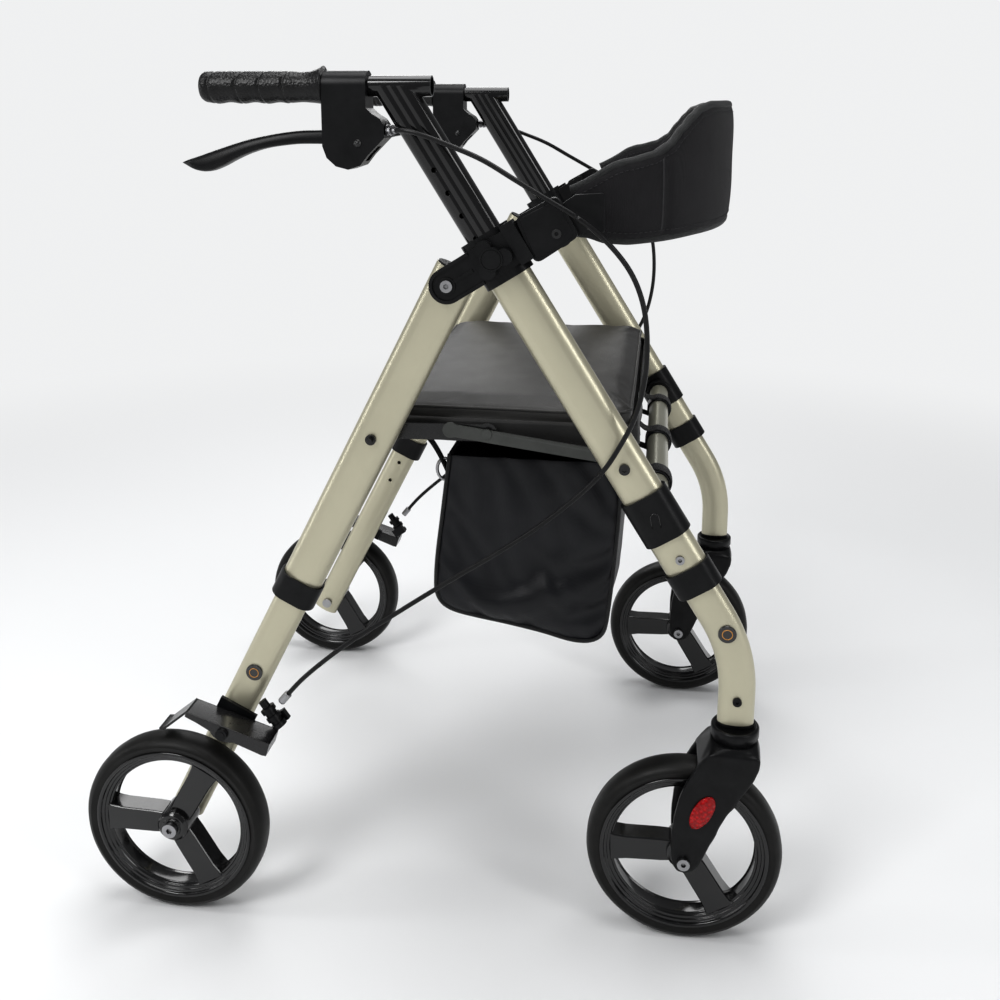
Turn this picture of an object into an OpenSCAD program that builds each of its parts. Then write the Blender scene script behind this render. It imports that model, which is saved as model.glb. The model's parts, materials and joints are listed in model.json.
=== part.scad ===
// Four-wheeled rollator walker with folding side frames, seat, under-seat bag,
// swivel front casters, braked rear wheels and height-adjustable handles.
// Frame: origin on the ground under the middle of the wheelbase, +X forward,
// +Y to the user's left, +Z up. All sizes in millimetres.

/* [Frame] */
// Half the distance between the two side-frame planes
half_w = 254; // [240:1:280]
// Lean of the front legs from vertical, in degrees
leg_lean = 32; // [31:0.5:33]
// Height of the star knob centre above the ground
knob_z = 723; // [715:1:735]
// Fore-aft position of the star knob centre
knob_x = 70; // [65:1:75]
// Distance from the front leg axis back to the folding pivot
pivot_gap = 53; // [52:1:60]
// Length of the front upper leg below the star knob, measured along the leg
upper_leg_len = 373; // [366:1:376]

/* [Wheels] */
// Outer diameter of every wheel
wheel_d = 203; // [190:1:206]
// Width of every tyre
tyre_w = 33; // [28:1:34]
// Fore-aft position of the rear axle
rear_axle_x = -275; // [-285:1:-265]
// Fore-aft position of the caster stems
stem_x = 317.5; // [312:0.5:322]
// Trail of the caster wheel behind its stem
trail = 47.5; // [42:0.5:52]

/* [Handles] */
// Height of the handle tube centre
handle_z = 882.5; // [870:0.5:900]
// Diameter of the handle tube
handle_d = 20; // [19:0.5:21]
// Length of the hand grip
grip_len = 122; // [110:1:130]
// Spacing of the height holes in the handle post
hole_pitch = 25.4; // [20:0.1:30]

/* [Seat] */
// Width of the seat cushion across the walker
seat_w = 448; // [420:1:452]
// Fore-aft depth of the seat cushion
seat_d = 276; // [250:1:280]
// Height of the top of the seat cushion
seat_top = 568; // [566:1:572]
// Thickness of the seat cushion
seat_t = 32; // [28:1:34]

/* [Bag] */
// Fore-aft length of the bag at its mouth
bag_len = 172; // [150:1:176]
// Width of the bag across the walker
bag_w = 410; // [380:1:416]
// Depth of the bag
bag_h = 178; // [160:1:184]

/* [Hidden] */
$fn = 48;

left = 1;
right = -1;

// colours shared by several pieces
upper_leg_color = [0.80, 0.78, 0.66];
lower_leg_color = [0.82, 0.80, 0.68];
cross_tube_color = [0.62, 0.56, 0.42];
black_plastic = [0.10, 0.10, 0.11];
bolt_silver = [0.78, 0.78, 0.80];
tyre_color = [0.16, 0.16, 0.16];
rim_color = [0.05, 0.05, 0.06];

// tube sections
inner_r = 10.5;             // lobe radius of the inner tube and handle post
outer_r = 13;               // lobe radius of the outer tube
slide_fit = 0.5;            // sliding gap between inner and outer tube
gap = 0.05;                 // running gap
leg_wall = 1.8;             // wall of the lower legs
cross_r = 12.7;             // cross tube radius
cross_bore_r = 10.9;

// leg lines; a "drop" is a distance down a leg axis from the knob or the pivot
wheel_r = wheel_d / 2;
pivot_x = knob_x - pivot_gap * cos(leg_lean);
pivot_z = knob_z - pivot_gap * sin(leg_lean);
rear_lean = atan2(pivot_x - rear_axle_x, pivot_z - wheel_r);
rear_len = norm([pivot_x - rear_axle_x, pivot_z - wheel_r]);
rear_upper_len = 368;       // from pivot to the open end
caster_x = stem_x - trail;
ground_x = -(rear_axle_x + caster_x) / 2;  // moves mid-wheelbase to the origin
front_pin_drop = 243;       // front link pin
rear_pin_drop = 179;        // rear link pin
front_tube_drop = 302;      // front cross tube
rear_tube_drop = 210;       // rear cross tube
clamp_drop = 350;           // lower leg clamp bolt
backrest_x = 130;           // backrest pivot
backrest_z = 747;
pivot_r = 4;                // folding pivot bolts, knob studs and axles
pin_r = 3;                  // link pins and backrest screws
small_r = 2.5;              // clamp and stem housing screws

function front_point(drop, y = half_w) =
  [knob_x + drop * sin(leg_lean), y, knob_z - drop * cos(leg_lean)];
function rear_point(drop, y = half_w) =
  [pivot_x - drop * sin(rear_lean), y, pivot_z - drop * cos(rear_lean)];

// ---- placement helpers: children are drawn for the left side, outward is +Y ----
module place() { translate([ground_x, 0, 0]) children(); }
module side(hand) { mirror([0, hand < 0 ? 1 : 0, 0]) children(); }
module both_sides() { for (hand = [right, left]) side(hand) children(); }
module at_front(drop = 0) { translate(front_point(drop)) rotate([0, -leg_lean, 0]) children(); }
module at_rear(drop = 0) { translate(rear_point(drop)) rotate([0, rear_lean, 0]) children(); }
module down(drop) { translate([0, 0, -drop]) children(); }

// ---- shape helpers ----
// cylinders along +Y or +X
module y_rod(radius, length, start = 0) {
  translate([0, start, 0]) rotate([-90, 0, 0]) cylinder(r = radius, h = length);
}
module x_rod(radius, length, start = 0) {
  translate([start, 0, 0]) rotate([0, 90, 0]) cylinder(r = radius, h = length);
}
// outline of [x, z] points, extruded towards -Y from y_end
module y_slab(outline, y_end, width, z = 0) {
  translate([0, y_end, z]) rotate([90, 0, 0]) linear_extrude(width) polygon(outline);
}
// ribbed oval tube section made of overlapping lobes
module lobes(radius, pitch, count, height) {
  for (i = [0 : count - 1])
    translate([pitch * (i - (count - 1) / 2), 0, 0]) cylinder(r = radius, h = height);
}
inner_pitch = 8;
module inner_tube(height, grow = 0) { lobes(inner_r + grow, inner_pitch, 3, height); }
module outer_tube(height, grow = 0) { lobes(outer_r + grow, 4.5, 5, height); }
// socket screw, head outward along +Y from y = 0, shank inward
module screw(shank_r, shank_len, head_r, head_len) {
  y_rod(shank_r, shank_len + 0.01, -shank_len);
  difference() {
    y_rod(head_r, head_len);
    y_rod(head_r * 0.45, 2, head_len - 1.4, $fn = 6);
  }
}
module cross_tube(half_len) {
  difference() {
    y_rod(cross_r, 2 * half_len, -half_len);
    y_rod(cross_bore_r, 2 * half_w, -half_w);
  }
}
// collar over the open end of an upper leg, drawn in the leg's frame
module collar(upper_len, bore_drop, bore_len) {
  difference() {
    down(upper_len + 17) outer_tube(28, 2.6);
    down(upper_len) outer_tube(40, gap);
    down(bore_drop) inner_tube(bore_len, 0.3);
  }
}
// raised disc on the outer face of a lower leg
module roundel() { y_rod(8.5, inner_r + 0.8); }

// ---- front frame ----
module front_leg(hand) {
  color(upper_leg_color) side(hand) at_front() difference() {
    down(upper_leg_len) outer_tube(upper_leg_len - 6);
    down(upper_leg_len + 1) inner_tube(upper_leg_len + 2, slide_fit);
    down(front_pin_drop) y_rod(pin_r + gap, 40, -20);
    down(clamp_drop) y_rod(small_r + gap, 20);
  }
}
module front_cross_tube() {
  color(cross_tube_color) translate(front_point(front_tube_drop, 0)) cross_tube(half_w - 14);
}
module tee_sleeves() {
  color(black_plastic) both_sides() at_front(front_tube_drop) difference() {
    union() {
      down(25) outer_tube(50, 3.2);
      y_rod(17, 26, -30);
    }
    down(26) outer_tube(52, gap);
    y_rod(cross_r + gap, 40, -54);
  }
}
module bag_straps() {
  color([0.05, 0.05, 0.06]) translate(front_point(front_tube_drop, 0))
    for (y = [-150, 0, 150]) difference() {
      y_rod(15, 26, y - 13);
      y_rod(cross_r + gap, 28, y - 14);
    }
}
module front_collars() {
  color(black_plastic) both_sides() at_front()
    collar(upper_leg_len, bore_drop = 410, bore_len = 70);
}

// moulded bracket: socket round the leg top, pivot arm, knob seat and backrest tongue
bracket_arm_y = outer_r + 1;
bracket_arm_r = 17.5;
bracket_recess_r = 14.2;
// backrest pivot in the front leg's frame
tongue_x = (backrest_x - knob_x) * cos(leg_lean) + (backrest_z - knob_z) * sin(leg_lean);
tongue_z = -(backrest_x - knob_x) * sin(leg_lean) + (backrest_z - knob_z) * cos(leg_lean);
// round-ended pad running forward from the folding pivot
module pivot_pad(radius, length, depth, y) {
  translate([-pivot_gap, 0, 0]) y_rod(radius, depth, y);
  translate([-pivot_gap, y, -radius]) cube([length, depth, 2 * radius]);
}
module bracket(hand) {
  color([0.13, 0.13, 0.14]) side(hand) at_front() difference() {
    union() {
      down(26) outer_tube(50, 4);
      // outboard arm to the folding pivot, with a raised rim
      pivot_pad(bracket_arm_r, pivot_gap + 26, 8, bracket_arm_y);
      difference() {
        pivot_pad(bracket_arm_r, 34, 10.5, bracket_arm_y);
        pivot_pad(bracket_recess_r, 40, 20, outer_r + 8);
      }
      // raised boss round the pivot and the rib running from it
      translate([-pivot_gap, 0, 0]) y_rod(8.5, 9.5, bracket_arm_y);
      translate([-pivot_gap + 4, outer_r + 4, -1.6]) cube([26, 6, 3.2]);
      // knob seat
      y_rod(15, 9.5, outer_r);
      // tongue carrying the backrest
      translate([14, -9, -17]) cube([48, 18, 36]);
      translate([20, 9, -20]) cube([14, 15, 42]);
      translate([tongue_x, 0, tongue_z]) y_rod(15, 18, -9);
    }
    // leg socket and post passage
    down(30) outer_tube(24, gap);
    down(7) inner_tube(60, slide_fit);
    // pivot, knob and backrest holes
    translate([-pivot_gap, 0, 0]) y_rod(pivot_r + gap, 60, -10);
    y_rod(pivot_r + gap, 40);
    translate([tongue_x, 0, tongue_z]) y_rod(pin_r + gap, 60, -30);
  }
}

// silver bolts: folding pivots and lower leg clamps
module frame_bolts() {
  color(bolt_silver) both_sides() {
    at_front() translate([-pivot_gap, outer_r + 10.5, 0]) {
      screw(pivot_r, 41, 6, 3);
      y_rod(6.5, 3, -41.5);
    }
    at_front(clamp_drop) translate([0, outer_r, 0]) screw(small_r, 1.9, 4.5, 2.2);
  }
}
// black socket screws: front link pins and backrest pivots
module frame_screws() {
  color([0.07, 0.07, 0.08]) both_sides() {
    at_front(front_pin_drop) translate([0, outer_r, 0]) screw(pin_r, 39, 5.5, 3);
    translate([backrest_x, half_w + 20, backrest_z]) screw(pin_r, 31, 4.6, 2);
    translate([backrest_x, half_w, backrest_z]) y_rod(5, 2, -11.2);
  }
}

// ---- rear frame ----
module rear_leg(hand) {
  color(upper_leg_color) side(hand) at_rear() difference() {
    down(rear_upper_len) outer_tube(rear_upper_len + 14);
    down(rear_upper_len + 1) inner_tube(rear_upper_len + 20, slide_fit);
    y_rod(pivot_r + gap, 40, -20);
    down(rear_pin_drop) y_rod(pin_r + gap, 40, -20);
  }
}
module rear_cross_tube() {
  color(cross_tube_color) translate(rear_point(rear_tube_drop, 0)) cross_tube(half_w - outer_r);
}
// plugs in the tops of the rear legs
module rear_caps() {
  color([0.08, 0.08, 0.09]) both_sides() at_rear() {
    translate([0, 0, 8]) inner_tube(6.01, 0.4);
    translate([0, 0, 14]) outer_tube(2, -1.2);
  }
}
module rear_collars() {
  color(black_plastic) both_sides() at_rear()
    collar(rear_upper_len, bore_drop = rear_upper_len + 30, bore_len = 60);
}
module rear_lower_leg(hand) {
  color(lower_leg_color) side(hand) at_rear() difference() {
    union() {
      down(rear_len + 14) inner_tube(rear_len + 14 - 215);
      down(480) roundel();
    }
    down(rear_len + 20) inner_tube(rear_len, -leg_wall);
    down(rear_len) y_rod(pivot_r + gap, 40, -20);
    // two holes in the inner face
    for (drop = [400, 432]) down(drop) y_rod(2.4, 30, -30);
  }
}

// ---- rear brake ----
brake_drop = 540;           // brake arm pivot, down the rear leg
brake_offset = 2;           // and forward of the leg axis
// brake pivot and rubber cable boot standing on the lower leg
module cable_anchor(hand) {
  color([0.09, 0.09, 0.10]) side(hand) {
    at_rear(brake_drop) {
      // outboard bracket plate
      translate([-20, inner_r, 0]) cube([44, 4, 16]);
      // pivot stub for the brake arm and its end cap
      translate([brake_offset, 0, 0]) y_rod(4, 38, inner_r + 1);
      translate([brake_offset, 0, 0]) y_rod(6.5, 2.5, 46.4);
    }
    translate([-160, half_w + inner_r + 2, 213]) rotate([0, -35, 0]) {
      // ribbed boot, its foot and the cable ferrule
      for (i = [0 : 4]) translate([0, 10, i * 5]) cylinder(r = i % 2 == 0 ? 8 : 6.2, h = 5.01);
      translate([-9, -2, 0]) cube([18, 6, 12]);
      translate([0, 10, 25]) cylinder(r = 4.4, h = 9);
    }
  }
}
module rear_axle(hand) {
  color([0.75, 0.75, 0.77]) side(hand) translate([rear_axle_x, half_w, wheel_r]) {
    y_rod(pivot_r, 73, -14);
    y_rod(7, 3, -14.5);
    difference() {
      y_rod(8, 4.5, 58.4);
      y_rod(3.4, 4, 60.5, $fn = 6);
    }
  }
}
// channel-shaped arm whose bent end presses on the tyre
arm_y = 16;                 // inner face, from the side-frame plane
arm_w = 29.5;
arm_len = 96;
arm_rear = -44;             // rear end, from the arm pivot
arm_sheet = 2.5;            // sheet thickness
module brake_arm(hand) {
  pivot = rear_point(brake_drop) + brake_offset * [cos(rear_lean), 0, -sin(rear_lean)];
  color([0.06, 0.06, 0.07]) side(hand) translate(pivot) rotate([0, 17.5, 0]) difference() {
    union() {
      for (y = [arm_y, arm_y + arm_w - arm_sheet])
        translate([arm_rear, y, -8]) cube([arm_len, arm_sheet, 16]);
      translate([arm_rear, arm_y, 6]) cube([arm_len, arm_w, arm_sheet]);
      // bent end
      translate([arm_rear + 2, arm_y, 8.5]) rotate([0, 33, 0])
        translate([-arm_sheet, 0, -40.5]) cube([arm_sheet, arm_w, 40.5]);
      // front end wall
      translate([arm_rear + arm_len - arm_sheet, arm_y, -8]) cube([arm_sheet, arm_w, 16]);
    }
    y_rod(4 + gap, 60, 10);
  }
}

// ---- wheels, centred on the origin with the axle along Y ----
// half the tyre section: [depth below the tread, distance in from the sidewall]
tyre_edge = [[18, 3], [8, 0], [4, 2], [1.4, 6], [0, 12]];
module tyre() {
  rotate([90, 0, 0]) rotate_extrude($fn = 72) polygon(concat(
    [for (p = tyre_edge) [wheel_r - p[0], -tyre_w / 2 + p[1]]],
    [for (i = [4 : -1 : 0]) [wheel_r - tyre_edge[i][0], tyre_w / 2 - tyre_edge[i][1]]]));
}
spoke_section = [
  [-14, -6], [-9, -9.5], [9, -9.5], [14, -6], [14, 6], [9, 9.5], [-9, 9.5], [-14, 6]];
module rim(first_spoke, hub_half) {
  difference() {
    union() {
      rotate([90, 0, 0]) rotate_extrude($fn = 72) polygon([
        [wheel_r - 27, -9], [wheel_r - 24, -13.5], [wheel_r - 18, -13.5],
        [wheel_r - 18, 13.5], [wheel_r - 24, 13.5], [wheel_r - 27, 9]]);
      for (i = [0 : 2])
        rotate([0, first_spoke + i * 120, 0]) rotate([0, 90, 0])
          linear_extrude(wheel_r - 25) polygon(spoke_section);
      y_rod(17, 2 * hub_half, -hub_half);
    }
    y_rod(pivot_r + gap, 80, -40);
  }
}
module at_rear_wheel() { translate([rear_axle_x, half_w + 38, wheel_r]) children(); }
module at_caster_wheel() { translate([caster_x, half_w, wheel_r]) children(); }
module rear_tyre(hand) { color(tyre_color) side(hand) at_rear_wheel() tyre(); }
module rear_rim(hand) {
  color(rim_color) side(hand) at_rear_wheel() rim(first_spoke = -60, hub_half = 20);
}
module caster_tyre(hand) { color(tyre_color) side(hand) at_caster_wheel() tyre(); }
module caster_rim(hand) {
  color(rim_color) side(hand) at_caster_wheel() rim(first_spoke = -62, hub_half = 19.6);
}

// ---- front lower leg, bent to vertical, with the caster stem housing ----
stem_drop = (stem_x - knob_x) / sin(leg_lean);  // where the leg axis meets the stem axis
stem_z = knob_z - stem_drop * cos(leg_lean);
bend_r = 150;
bend_tangent = bend_r * tan(leg_lean / 2);
leg_end_z = 250;
stem_screw_z = 277;
module bent_leg(grow, extra) {
  // the bend is drawn slightly slimmer than the straights, which run a little into it
  overlap = 0.6;
  bend_lobe_r = inner_r + grow - 0.05;
  at_front() down(stem_drop - bend_tangent + overlap)
    inner_tube(stem_drop - bend_tangent - 280 + extra + overlap, grow);
  translate([stem_x - bend_r, half_w, stem_z - bend_tangent]) rotate([90, 0, 0])
    rotate_extrude(angle = leg_lean, $fn = 96)
      for (i = [-1 : 1]) translate([bend_r + i * inner_pitch, 0]) circle(r = bend_lobe_r);
  translate([stem_x, half_w, leg_end_z - extra])
    inner_tube(stem_z - bend_tangent - leg_end_z + extra + overlap, grow);
}
module front_lower_leg(hand) {
  color(lower_leg_color) side(hand) difference() {
    union() {
      bent_leg(grow = 0, extra = 0);
      translate(front_point(440) + [1.5, 0, 0]) roundel();
    }
    bent_leg(grow = -leg_wall, extra = 1);
    translate([stem_x, half_w, stem_screw_z]) y_rod(small_r + gap, 30);
  }
}
module stem_housing(hand) {
  color(black_plastic) side(hand) {
    translate([stem_x, half_w, 0]) difference() {
      union() {
        translate([0, 0, leg_end_z - 1]) inner_tube(31, -1.85);
        translate([0, 0, leg_end_z - 3]) inner_tube(3, -0.2);
      }
      translate([0, 0, 200]) cylinder(r = stem_r + gap, h = 74);
      translate([0, 0, stem_screw_z]) y_rod(small_r, 14);
    }
    color(bolt_silver) translate([stem_x, half_w + inner_r, stem_screw_z])
      screw(small_r, 9, 4.6, 2.2);
  }
}

// ---- caster fork ----
stem_r = 5;
crown_z = 214;              // origin height of the crown and cheek outlines
cheek_y = 28;               // outer face of the cheeks
cheek_t = 7.6;
// [x from the stem, z from crown_z]
crown_outline = [
  [-24, 16], [-14, 17.5], [20, 17.5], [24.5, 6], [24, -6], [-28, -6], [-31, 4]];
cheek_outline = [
  [-24, 24], [-14, 34], [4, 38], [24, 36], [27, 14], [25, 0], [21, -18], [12, -33],
  [0, -46], [-12, -62], [-21, -82], [-27, -100], [-31, -112], [-37, -122], [-46, -126],
  [-55, -124], [-61, -116], [-62, -106], [-61, -88], [-58, -64], [-52, -40], [-44, -18],
  [-35, 4]];
// the cheeks stop level with the crown
cheek_trimmed = [for (p = cheek_outline) [p[0], min(p[1], 16)]];
module caster_fork(hand) {
  color([0.11, 0.11, 0.12]) side(hand) translate([stem_x, half_w, 0]) difference() {
    union() {
      // crown and swivel head
      translate([0, 0, 208]) cylinder(r = 24.5, h = 24);
      translate([0, 0, 231.9]) cylinder(r = 22, h = 4.2);
      translate([0, 0, 236]) cylinder(r = 23.5, h = 7);
      y_slab(crown_outline, cheek_y, 2 * cheek_y, crown_z);
      // cheeks either side of the wheel
      for (y = [cheek_t - cheek_y, cheek_y]) y_slab(cheek_trimmed, y, cheek_t, crown_z);
    }
    translate([0, 0, 200]) cylinder(r = stem_r + gap, h = 60);
    translate([0, 0, 200]) cylinder(r = 9, h = 12.5);
    translate([-trail, 0, wheel_r]) y_rod(pivot_r + gap, 80, -40);
    // notch in the head, inboard of the stem
    translate([-8, -30, 239]) cube([16, 20, 10]);
  }
}
module caster_bolts(hand) {
  color(bolt_silver) side(hand) {
    // stem with its hexagon head and collar
    translate([stem_x, half_w, 212.4]) cylinder(r = stem_r, h = 58);
    translate([stem_x, half_w, 206.5]) cylinder(r = 8.6, h = 6, $fn = 6);
    translate([stem_x, half_w, 243]) cylinder(r = 9, h = 3.6, $fn = 6);
    // axle with a socketed head at each end
    at_caster_wheel() {
      y_rod(pivot_r, 56.2, -28.1);
      for (y = [-33, 28.05]) difference() {
        y_rod(6.5, 5, y);
        y_rod(2.8, 3, y > 0 ? y + 3 : y - 1, $fn = 6);
      }
    }
  }
}
// three overlapping discs on the outer cheek
module reflector(hand) {
  color([0.85, 0.05, 0.06]) side(hand)
    translate([stem_x - 29, half_w + cheek_y + 0.02, 160]) rotate([0, 24, 0])
      for (i = [-1 : 1])
        translate([0, 0, i * 5]) y_rod(8.5 - abs(i) * 1.2, 2.2 - abs(i) * 0.3);
}

// ---- handles ----
handle_wall = 1.6;
handle_r = handle_d / 2;
module handle_frame(hand) {
  color([0.03, 0.03, 0.03]) side(hand) difference() {
    union() {
      // post, cut off at the handle axis
      difference() {
        at_front() down(150) inner_tube(370);
        translate([-200, half_w - 50, handle_z]) cube([400, 100, 100]);
      }
      translate([0, half_w, handle_z]) x_rod(handle_r, 225.4, -217.4);
    }
    // bores of the post and the handle
    difference() {
      at_front() down(151) inner_tube(370, -handle_wall);
      translate([-200, half_w - 50, handle_z - handle_r - 3]) cube([400, 100, 150]);
    }
    translate([0, half_w, handle_z]) x_rod(handle_r - handle_wall, 230, -220);
    // height holes
    for (i = [-4 : 3]) at_front() translate([-7, 0, 24 + i * hole_pitch]) y_rod(2.6, 30);
  }
}
// ribbed, then flared towards the front: [radius, distance from the rear end]
grip_ribs = [for (i = [1 : 20]) let(t = i / 20)
  [14.4 + (t < 0.72 ? 0.5 * cos(t * 1500) : 0) + (t > 0.86 ? (t - 0.86) * 24 : 0),
   t * (grip_len - 3)]];
module grip(hand) {
  bore_r = handle_r + gap;
  color([0.07, 0.07, 0.07]) side(hand)
    translate([-98 - grip_len, half_w, handle_z]) rotate([0, 90, 0]) rotate_extrude()
      polygon(concat(
        [[bore_r, 2.5], [0, 2.5], [0, 0], [12.5, 0], [14.2, 1.8]],
        grip_ribs,
        [[17.6, grip_len - 1], [16, grip_len], [bore_r, grip_len]]));
}

// ---- hand brake; outlines are [x, z] ----
lever_r = 3.5;              // lever pivot radius
lever_x = -62;              // lever pivot
lever_z = 829;
clamp_rear = -97;           // ends of the clamp round the handle tube
clamp_front = -53.5;
housing_outline = [
  [clamp_rear, handle_z], [clamp_front, handle_z], [clamp_front, 862], [-48, 857], [-40, 852],
  [-36, 846], [-36, 834], [-44, 826], [-52, 818], [-60, 808], [-72, 804], [-84, 807],
  [-93, 815], [clamp_rear, 826]];
lever_outline = [
  [-52, 832], [-56, 838], [-66, 840], [-80, 839], [-100, 841], [-120, 841.5], [-140, 839.5],
  [-160, 835], [-180, 828.5], [-200, 819.5], [-216, 812], [-232, 808.5], [-241, 810],
  [-246, 806.5], [-244, 801], [-234, 797.5], [-222, 798], [-206, 803.5], [-186, 813],
  [-164, 821], [-140, 826.5], [-120, 828.5], [-100, 827.5], [-80, 823], [-62, 820],
  [-54, 824]];
// cable adjuster axis, as local X
module at_adjuster() { translate([-42, half_w + 3, 841.5]) rotate([0, 0, 35]) children(); }
module brake_housing(hand) {
  color([0.12, 0.12, 0.13]) side(hand) difference() {
    union() {
      translate([0, half_w, handle_z]) x_rod(14.5, clamp_front - clamp_rear, clamp_rear);
      y_slab(housing_outline, half_w + 14.5, 29);
      at_adjuster() x_rod(6.5, 7, -2);
    }
    translate([0, half_w, handle_z]) x_rod(handle_r + gap, 60, -110);
    // slot for the lever
    translate([-110, half_w - 7, 812]) cube([66, 14, 42]);
    translate([lever_x, half_w, lever_z]) y_rod(lever_r + gap, 60, -30);
    at_adjuster() {
      x_rod(2.5, 30, -12);
      x_rod(5.4, 20, 5.02);
    }
  }
}
module cable_adjuster(hand) {
  color([0.80, 0.80, 0.82]) side(hand) at_adjuster() {
    for (i = [0 : 4]) x_rod(i % 2 == 0 ? 5 : 4.3, 2.56, 5.1 + i * 2.55);
    x_rod(3.2, 5, 17.8);
    x_rod(2.4, 10, -4.8);
  }
}
// lever blade with its pivot pin
module brake_lever(hand) {
  color(black_plastic) side(hand) {
    y_slab(lever_outline, half_w + 6, 12);
    translate([lever_x, half_w, lever_z]) y_rod(lever_r, 30.6, -15.3);
  }
}
// stud and three-lobed knob with a ring groove in its face
module star_knob(hand) {
  color(black_plastic) side(hand) at_front() {
    y_rod(pivot_r, 22, 11.9);
    difference() {
      union() {
        y_rod(11, 12, outer_r + 10);
        for (i = [0 : 2])
          rotate([0, i * 120 + 20, 0]) translate([12, outer_r + 10.5, 0]) y_rod(8, 10);
      }
      translate([0, outer_r + 21, 0]) difference() {
        y_rod(9.8, 3);
        y_rod(9, 3);
      }
    }
  }
}

// ---- seat ----
seat_rear = -66;
seat_bottom = seat_top - seat_t;
module seat_cushion() {
  color([0.22, 0.21, 0.20]) translate([seat_rear, -seat_w / 2, seat_bottom]) difference() {
    cube([seat_d, seat_w, seat_t]);
    // step along each side edge
    for (y = [-1, seat_w - 5]) translate([-1, y, seat_t - 6]) cube([seat_d + 2, 6, 8]);
  }
}
module seat_base() {
  color([0.08, 0.08, 0.09]) {
    translate([seat_rear + 4, -seat_w / 2 + 3, seat_bottom - 8])
      cube([seat_d - 8, seat_w - 6, 8]);
    // lift tab at the rear edge
    translate([seat_rear - 12, -30, seat_bottom - 5]) cube([20, 60, 3]);
  }
}

// ---- folding side links ----
joint_x = 58;               // front end of the rear links
joint_z = 538;
// flat round-ended bar between two points of equal y
module bar(start, end, thickness, radius) {
  span = end - start;
  length = norm(span);
  translate(start) rotate([0, -atan2(span[2], span[0]), 0]) {
    y_rod(radius, thickness);
    translate([length, 0, 0]) y_rod(radius, thickness);
    translate([0, 0, -radius + 1.5]) cube([length, thickness, 2 * radius - 3]);
  }
}
module front_links() {
  link_y = half_w - 17.5;
  color([0.35, 0.36, 0.37]) both_sides() {
    difference() {
      union() {
        bar(front_point(front_pin_drop, link_y), [20, link_y, 540], 3, 8);
        translate(front_point(front_pin_drop)) y_rod(9, 4, -17.5);
      }
      translate(front_point(front_pin_drop)) y_rod(pin_r + gap, 30, -25);
    }
    translate([joint_x, half_w, joint_z]) y_rod(5, 2, -15);
  }
}
module rear_links() {
  link_y = half_w - 21.5;
  color([0.06, 0.06, 0.07]) both_sides() {
    bar(rear_point(rear_pin_drop, link_y), [joint_x, link_y, joint_z], 3, 10);
    translate(rear_point(rear_pin_drop)) {
      y_rod(pin_r, 41, -20);
      y_rod(7, 6, -19.5);
      translate([0, outer_r, 0]) screw(pin_r, 5, 5.5, 3);
    }
  }
}

// ---- bag: open-topped soft shell ----
bag_rear = 12;
bag_top = 497;
bag_wall = 3;
// [x from bag_rear, z from bag_top], from the rear of the mouth round to its front
bag_outer = [
  [0, 0], [-10, -60], [-16, -bag_h + 25], [-2, -bag_h], [60, -bag_h - 10],
  [140, -bag_h - 18], [162, -bag_h - 6], [bag_len, -bag_h + 20], [bag_len + 6, -60],
  [bag_len, 0]];
bag_inner = [
  [3, 1], [-7, -60], [-12, -bag_h + 26], [0, -bag_h + 4], [61, -bag_h - 6],
  [139, -bag_h - 14], [158, -bag_h - 3], [bag_len - 3, -bag_h + 21], [bag_len + 3, -60],
  [bag_len - 3, 1]];
module bag() {
  color([0.06, 0.06, 0.08])
    translate([bag_rear, bag_w / 2, bag_top]) rotate([90, 0, 0]) difference() {
      linear_extrude(bag_w) polygon(bag_outer);
      translate([0, 0, bag_wall]) linear_extrude(bag_w - 2 * bag_wall) polygon(bag_inner);
    }
}

// ---- backrest ----
band_x = 150;               // centre of the half ellipse seen from above
band_depth = 156;
band_half_w = 246;
band_t = 18;
band_steps = 24;
function band_point(i, offset) = let(angle = -90 + 180 * i / band_steps)
  [band_x + (band_depth + offset) * cos(angle), (band_half_w + offset) * sin(angle)];
// edges seen from the front, [y, z]: top of the left half, then the whole bottom
band_top = [
  [250, 790], [240, 802], [228, 814], [213, 820], [197, 830], [183, 845], [170, 856],
  [155, 865], [130, 869], [60, 870]];
band_bottom = [[-250, 746], [-200, 740], [-100, 742], [100, 742], [200, 740], [250, 746]];
module backrest_band() {
  color([0.19, 0.19, 0.20]) difference() {
    intersection() {
      translate([0, 0, 700]) linear_extrude(200) polygon(concat(
        [for (i = [0 : band_steps]) band_point(i, 0)],
        [for (i = [band_steps : -1 : 0]) band_point(i, -band_t)]));
      translate([100, 0, 0]) rotate([90, 0, 90]) linear_extrude(300) polygon(concat(
        band_top,
        [for (i = [len(band_top) - 1 : -1 : 0]) [-band_top[i][0], band_top[i][1]]],
        band_bottom));
    }
    // trim the rear ends and clear the blocks
    translate([100, -300, 700]) cube([55.2, 600, 200]);
    both_sides() translate([150, half_w - 28.1, 740]) cube([24.1, 4, 44.1]);
  }
}
module backrest_blocks() {
  color([0.14, 0.14, 0.15]) both_sides() difference() {
    union() {
      translate([backrest_x, half_w, backrest_z]) rotate([0, -leg_lean, 0])
        translate([-16, 9.3, -24]) cube([44, 10.7, 46]);
      translate([backrest_x + 14, half_w - 25, 744]) cube([10, 36, 40]);
      translate([backrest_x + 14, half_w - 28, 744]) cube([30, 3.8, 40]);
    }
    // screw hole and clearance round the bracket tongue
    translate([backrest_x, half_w, backrest_z]) {
      y_rod(pin_r + gap, 40, -5);
      y_rod(16, 20, -10.8);
    }
  }
}

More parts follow.
